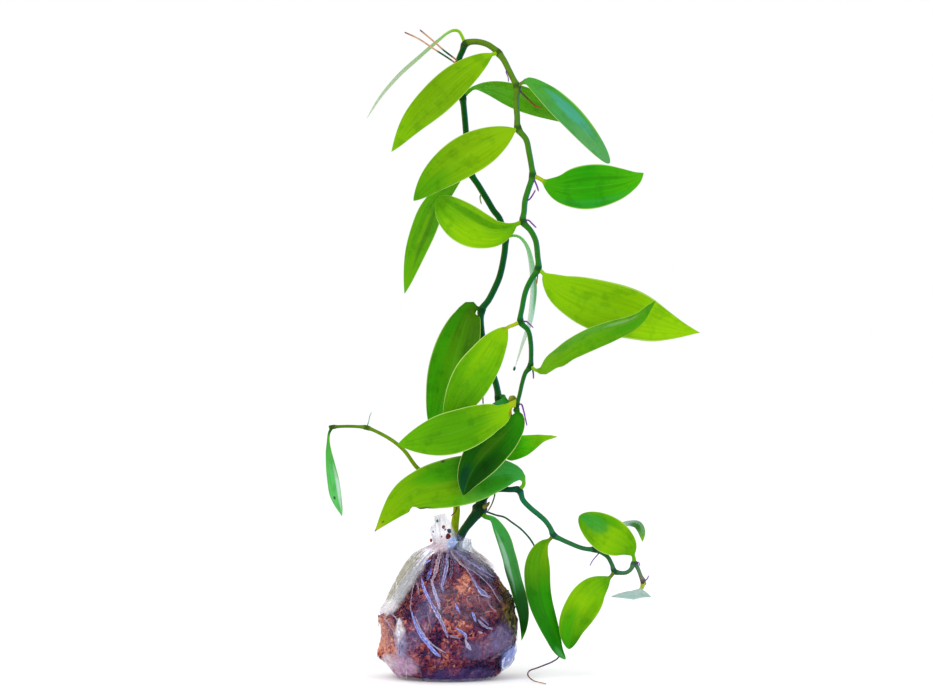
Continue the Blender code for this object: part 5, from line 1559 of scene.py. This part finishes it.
def fold_cover(tree):
    """The share that a fold hides: most along its middle, broken by small gaps."""
    edge = spread(tree, sums(tree, "ABSOLUTE", value_of(tree, "across")), 1.0, 0.55, 0.05, 1.0)
    gaps = spread(tree, grain(tree, place_of(tree), 420, 2), 0.25, 0.5, 0.45, 1.0)
    return sums(tree, "MULTIPLY", sums(tree, "MULTIPLY", edge, gaps), value_of(tree, "cover"))


folds = loft("film_folds", [strand[0] for _, _, strand in strands], {
    "across": [strand[1] for _, _, strand in strands],
    "along": [strand[2] for _, _, strand in strands],
    "cover": [[[cover] * len(FOLD_ACROSS) for _ in strand[0]] for _, cover, strand in strands],
})
coloured(folds, [
    TINTS[tint] for tint, _, strand in strands for _ in range(len(FOLD_ACROSS) * len(strand[0]) + 2)
])
folds.data.materials.append(film_skin("film folds", fold_cover, streaked, 0.3))
put(folds, "film")


# A narrow clear band closes the neck. It can't be seen, but the film is pinched tightly here, so
# something holds it: a twisted strip of the same clear plastic, wound once round the gathers.
TIE_RADIUS = 1.1
TIE_POINTS = 144
TIE_SIDES = 10
TIE_TWISTS = 12
TIE_COVER = 0.12
NECK_HALF = 18
NECK_SHIFT = 2.3
NECK_GATHER = 0.4
TIE_CLEARANCE = 0.3
WELD_REACH = 1e-6
neck_half = NECK_HALF + NECK_GATHER + TIE_CLEARANCE + TIE_RADIUS
tie_rings = []
for angle in ring_of(TIE_POINTS):
    out = np.array((math.cos(angle), DEPTH_OF_BAG * math.sin(angle), 0.0))
    centre = np.array((NECK_SHIFT, 0.0, NECK_HEIGHT)) + neck_half * out
    ring = []
    for turn in ring_of(TIE_SIDES):
        flat = TIE_RADIUS * (0.75 + 0.25 * math.cos(2 * turn + TIE_TWISTS * angle))
        ring.append(centre + flat * (math.cos(turn) * unit(out) + math.sin(turn) * UP))
    tie_rings.append(ring)
tie = loft("neck_band", [[*tie_rings, tie_rings[0]]], closed_ends=False)
welded = bmesh.new()
welded.from_mesh(tie.data)
bmesh.ops.remove_doubles(welded, verts=welded.verts, dist=WELD_REACH)
bmesh.ops.recalc_face_normals(welded, faces=welded.faces)
welded.to_mesh(tie.data)
welded.free()
coloured(tie, [TINTS["milk"]] * len(tie.data.vertices))
mark(tie.data, "cover", [TIE_COVER] * len(tie.data.vertices))
tie.data.materials.append(FILM)
put(tie, "film", "neck_tie")


# A few bark crumbs cling to the ruffle, left there when the bag was filled. They are damp bits of the
# filling, 2 to 5 mm across, with no fixing of their own.
CRUMB_LUMPS = 0.35
CRUMB_DEPTH = 0.7
CRUMB_HEIGHT = 1.2
# Each crumb's place as seen from the front, its radius and its colour.
CRUMBS = [
    ((-18.6, 137.3), 1.5, paint(170, 30, 60)), ((-12.3, 156.6), 1.2, paint(70, 120, 90)),
    ((-6.1, 150.6), 1.7, paint(150, 90, 70)), ((-1.5, 141.5), 2.5, paint(110, 30, 30)),
    ((-0.3, 146.5), 2.2, paint(50, 70, 90)), ((-4.5, 148), 1.0, paint(190, 130, 130)),
    ((-16.5, 146), 0.9, paint(150, 160, 190)), ((-8, 141), 0.9, paint(190, 110, 120)),
]
crumb_mesh = bmesh.new()
crumb_colours = []
for (x, z), radius, colour in CRUMBS:
    place, _ = film_hit(x, z, False)
    place = np.array(seen(x, z, -12)) if place is None else place
    ball = bmesh.ops.create_icosphere(crumb_mesh, subdivisions=2, radius=1)["verts"]
    for vert in ball:
        lump = radius * (1 + CRUMB_LUMPS * noise.noise(vert.co * 1.3 + Vector(place)))
        out = Vector((vert.co.x, vert.co.y * CRUMB_DEPTH, vert.co.z * CRUMB_HEIGHT)) * lump
        vert.co = (Vector(place) + out) * MM
    crumb_colours += [colour] * len(ball)
crumb_data = bpy.data.meshes.new("crumbs")
crumb_mesh.to_mesh(crumb_data)
crumb_mesh.free()
crumb_data.shade_smooth()
crumbs = object_of("neck_crumbs", crumb_data)
coloured(crumbs, crumb_colours)
crumb_skin, crumb_tree, crumb_shader = skin("crumbs", 0.8, 0.1)
own_colour = add(crumb_tree, "ShaderNodeAttribute", attribute_name="film").outputs["Color"]
crumb_grain = spread(crumb_tree, grain(crumb_tree, place_of(crumb_tree), 900, 3), 0.35, 0.7, 0.0, 0.7)
crumb_colour = mixed(crumb_tree, crumb_grain, own_colour, paint(50, 20, 30))
crumb_tree.links.new(crumb_colour, crumb_shader.inputs["Base Color"])
crumb_data.materials.append(crumb_skin)
put(crumbs, "bark_mix")


# The studio: the bag stands by its own weight on a pale matt floor, in a bright even surround with
# two soft lamps in front, and is seen from 3 m away.
FLOOR_SIZE = 24.0
FLOOR_GLOW = 0.12
LAMP_AIM = (0.03, 0, 0.33)
CAMERA_PLACE = (0.0169, -3.0, 0.3276)
SENSOR = 36.0
LENS = 115.76
floor_mesh = bpy.data.meshes.new("floor")
half = FLOOR_SIZE / 2
corners = [(-half, -half, 0), (half, -half, 0), (half, half, 0), (-half, half, 0)]
floor_mesh.from_pydata(corners, [], [(0, 1, 2, 3)])
floor = object_of("floor", floor_mesh)
floor_skin, _, floor_shader = skin("pale floor", 0.9, 0.0)
floor_shader.inputs["Base Color"].default_value = (0.93, 0.93, 0.94, 1.0)
floor_shader.inputs["Emission Color"].default_value = (1.0, 1.0, 1.0, 1.0)
floor_shader.inputs["Emission Strength"].default_value = FLOOR_GLOW
floor_mesh.materials.append(floor_skin)

surround = bpy.data.worlds.new("surround")
surround.use_nodes = True
surround.node_tree.nodes["Background"].inputs["Color"].default_value = (1.0, 1.0, 1.0, 1.0)
surround.node_tree.nodes["Background"].inputs["Strength"].default_value = 1.0
bpy.context.scene.world = surround


def lamp(name, place, size, power):
    """A soft square lamp that points at the middle of the plant."""
    data = bpy.data.lights.new(name, "AREA")
    data.size = size
    data.energy = power
    made = object_of(name, data)
    made.location = place
    made.rotation_euler = (Vector(LAMP_AIM) - Vector(place)).to_track_quat("-Z", "Y").to_euler()


lamp("key lamp", (-1.2, -1.8, 1.8), 0.9, 22)
lamp("fill lamp", (1.6, -1.2, 0.9), 1.2, 8)

camera = object_of("camera", bpy.data.cameras.new("camera"))
camera.data.sensor_width = SENSOR
camera.data.lens = LENS
camera.location = CAMERA_PLACE
camera.rotation_euler = (math.pi / 2, 0, 0)
bpy.context.scene.camera = camera
bpy.context.scene.view_settings.view_transform = "Standard"
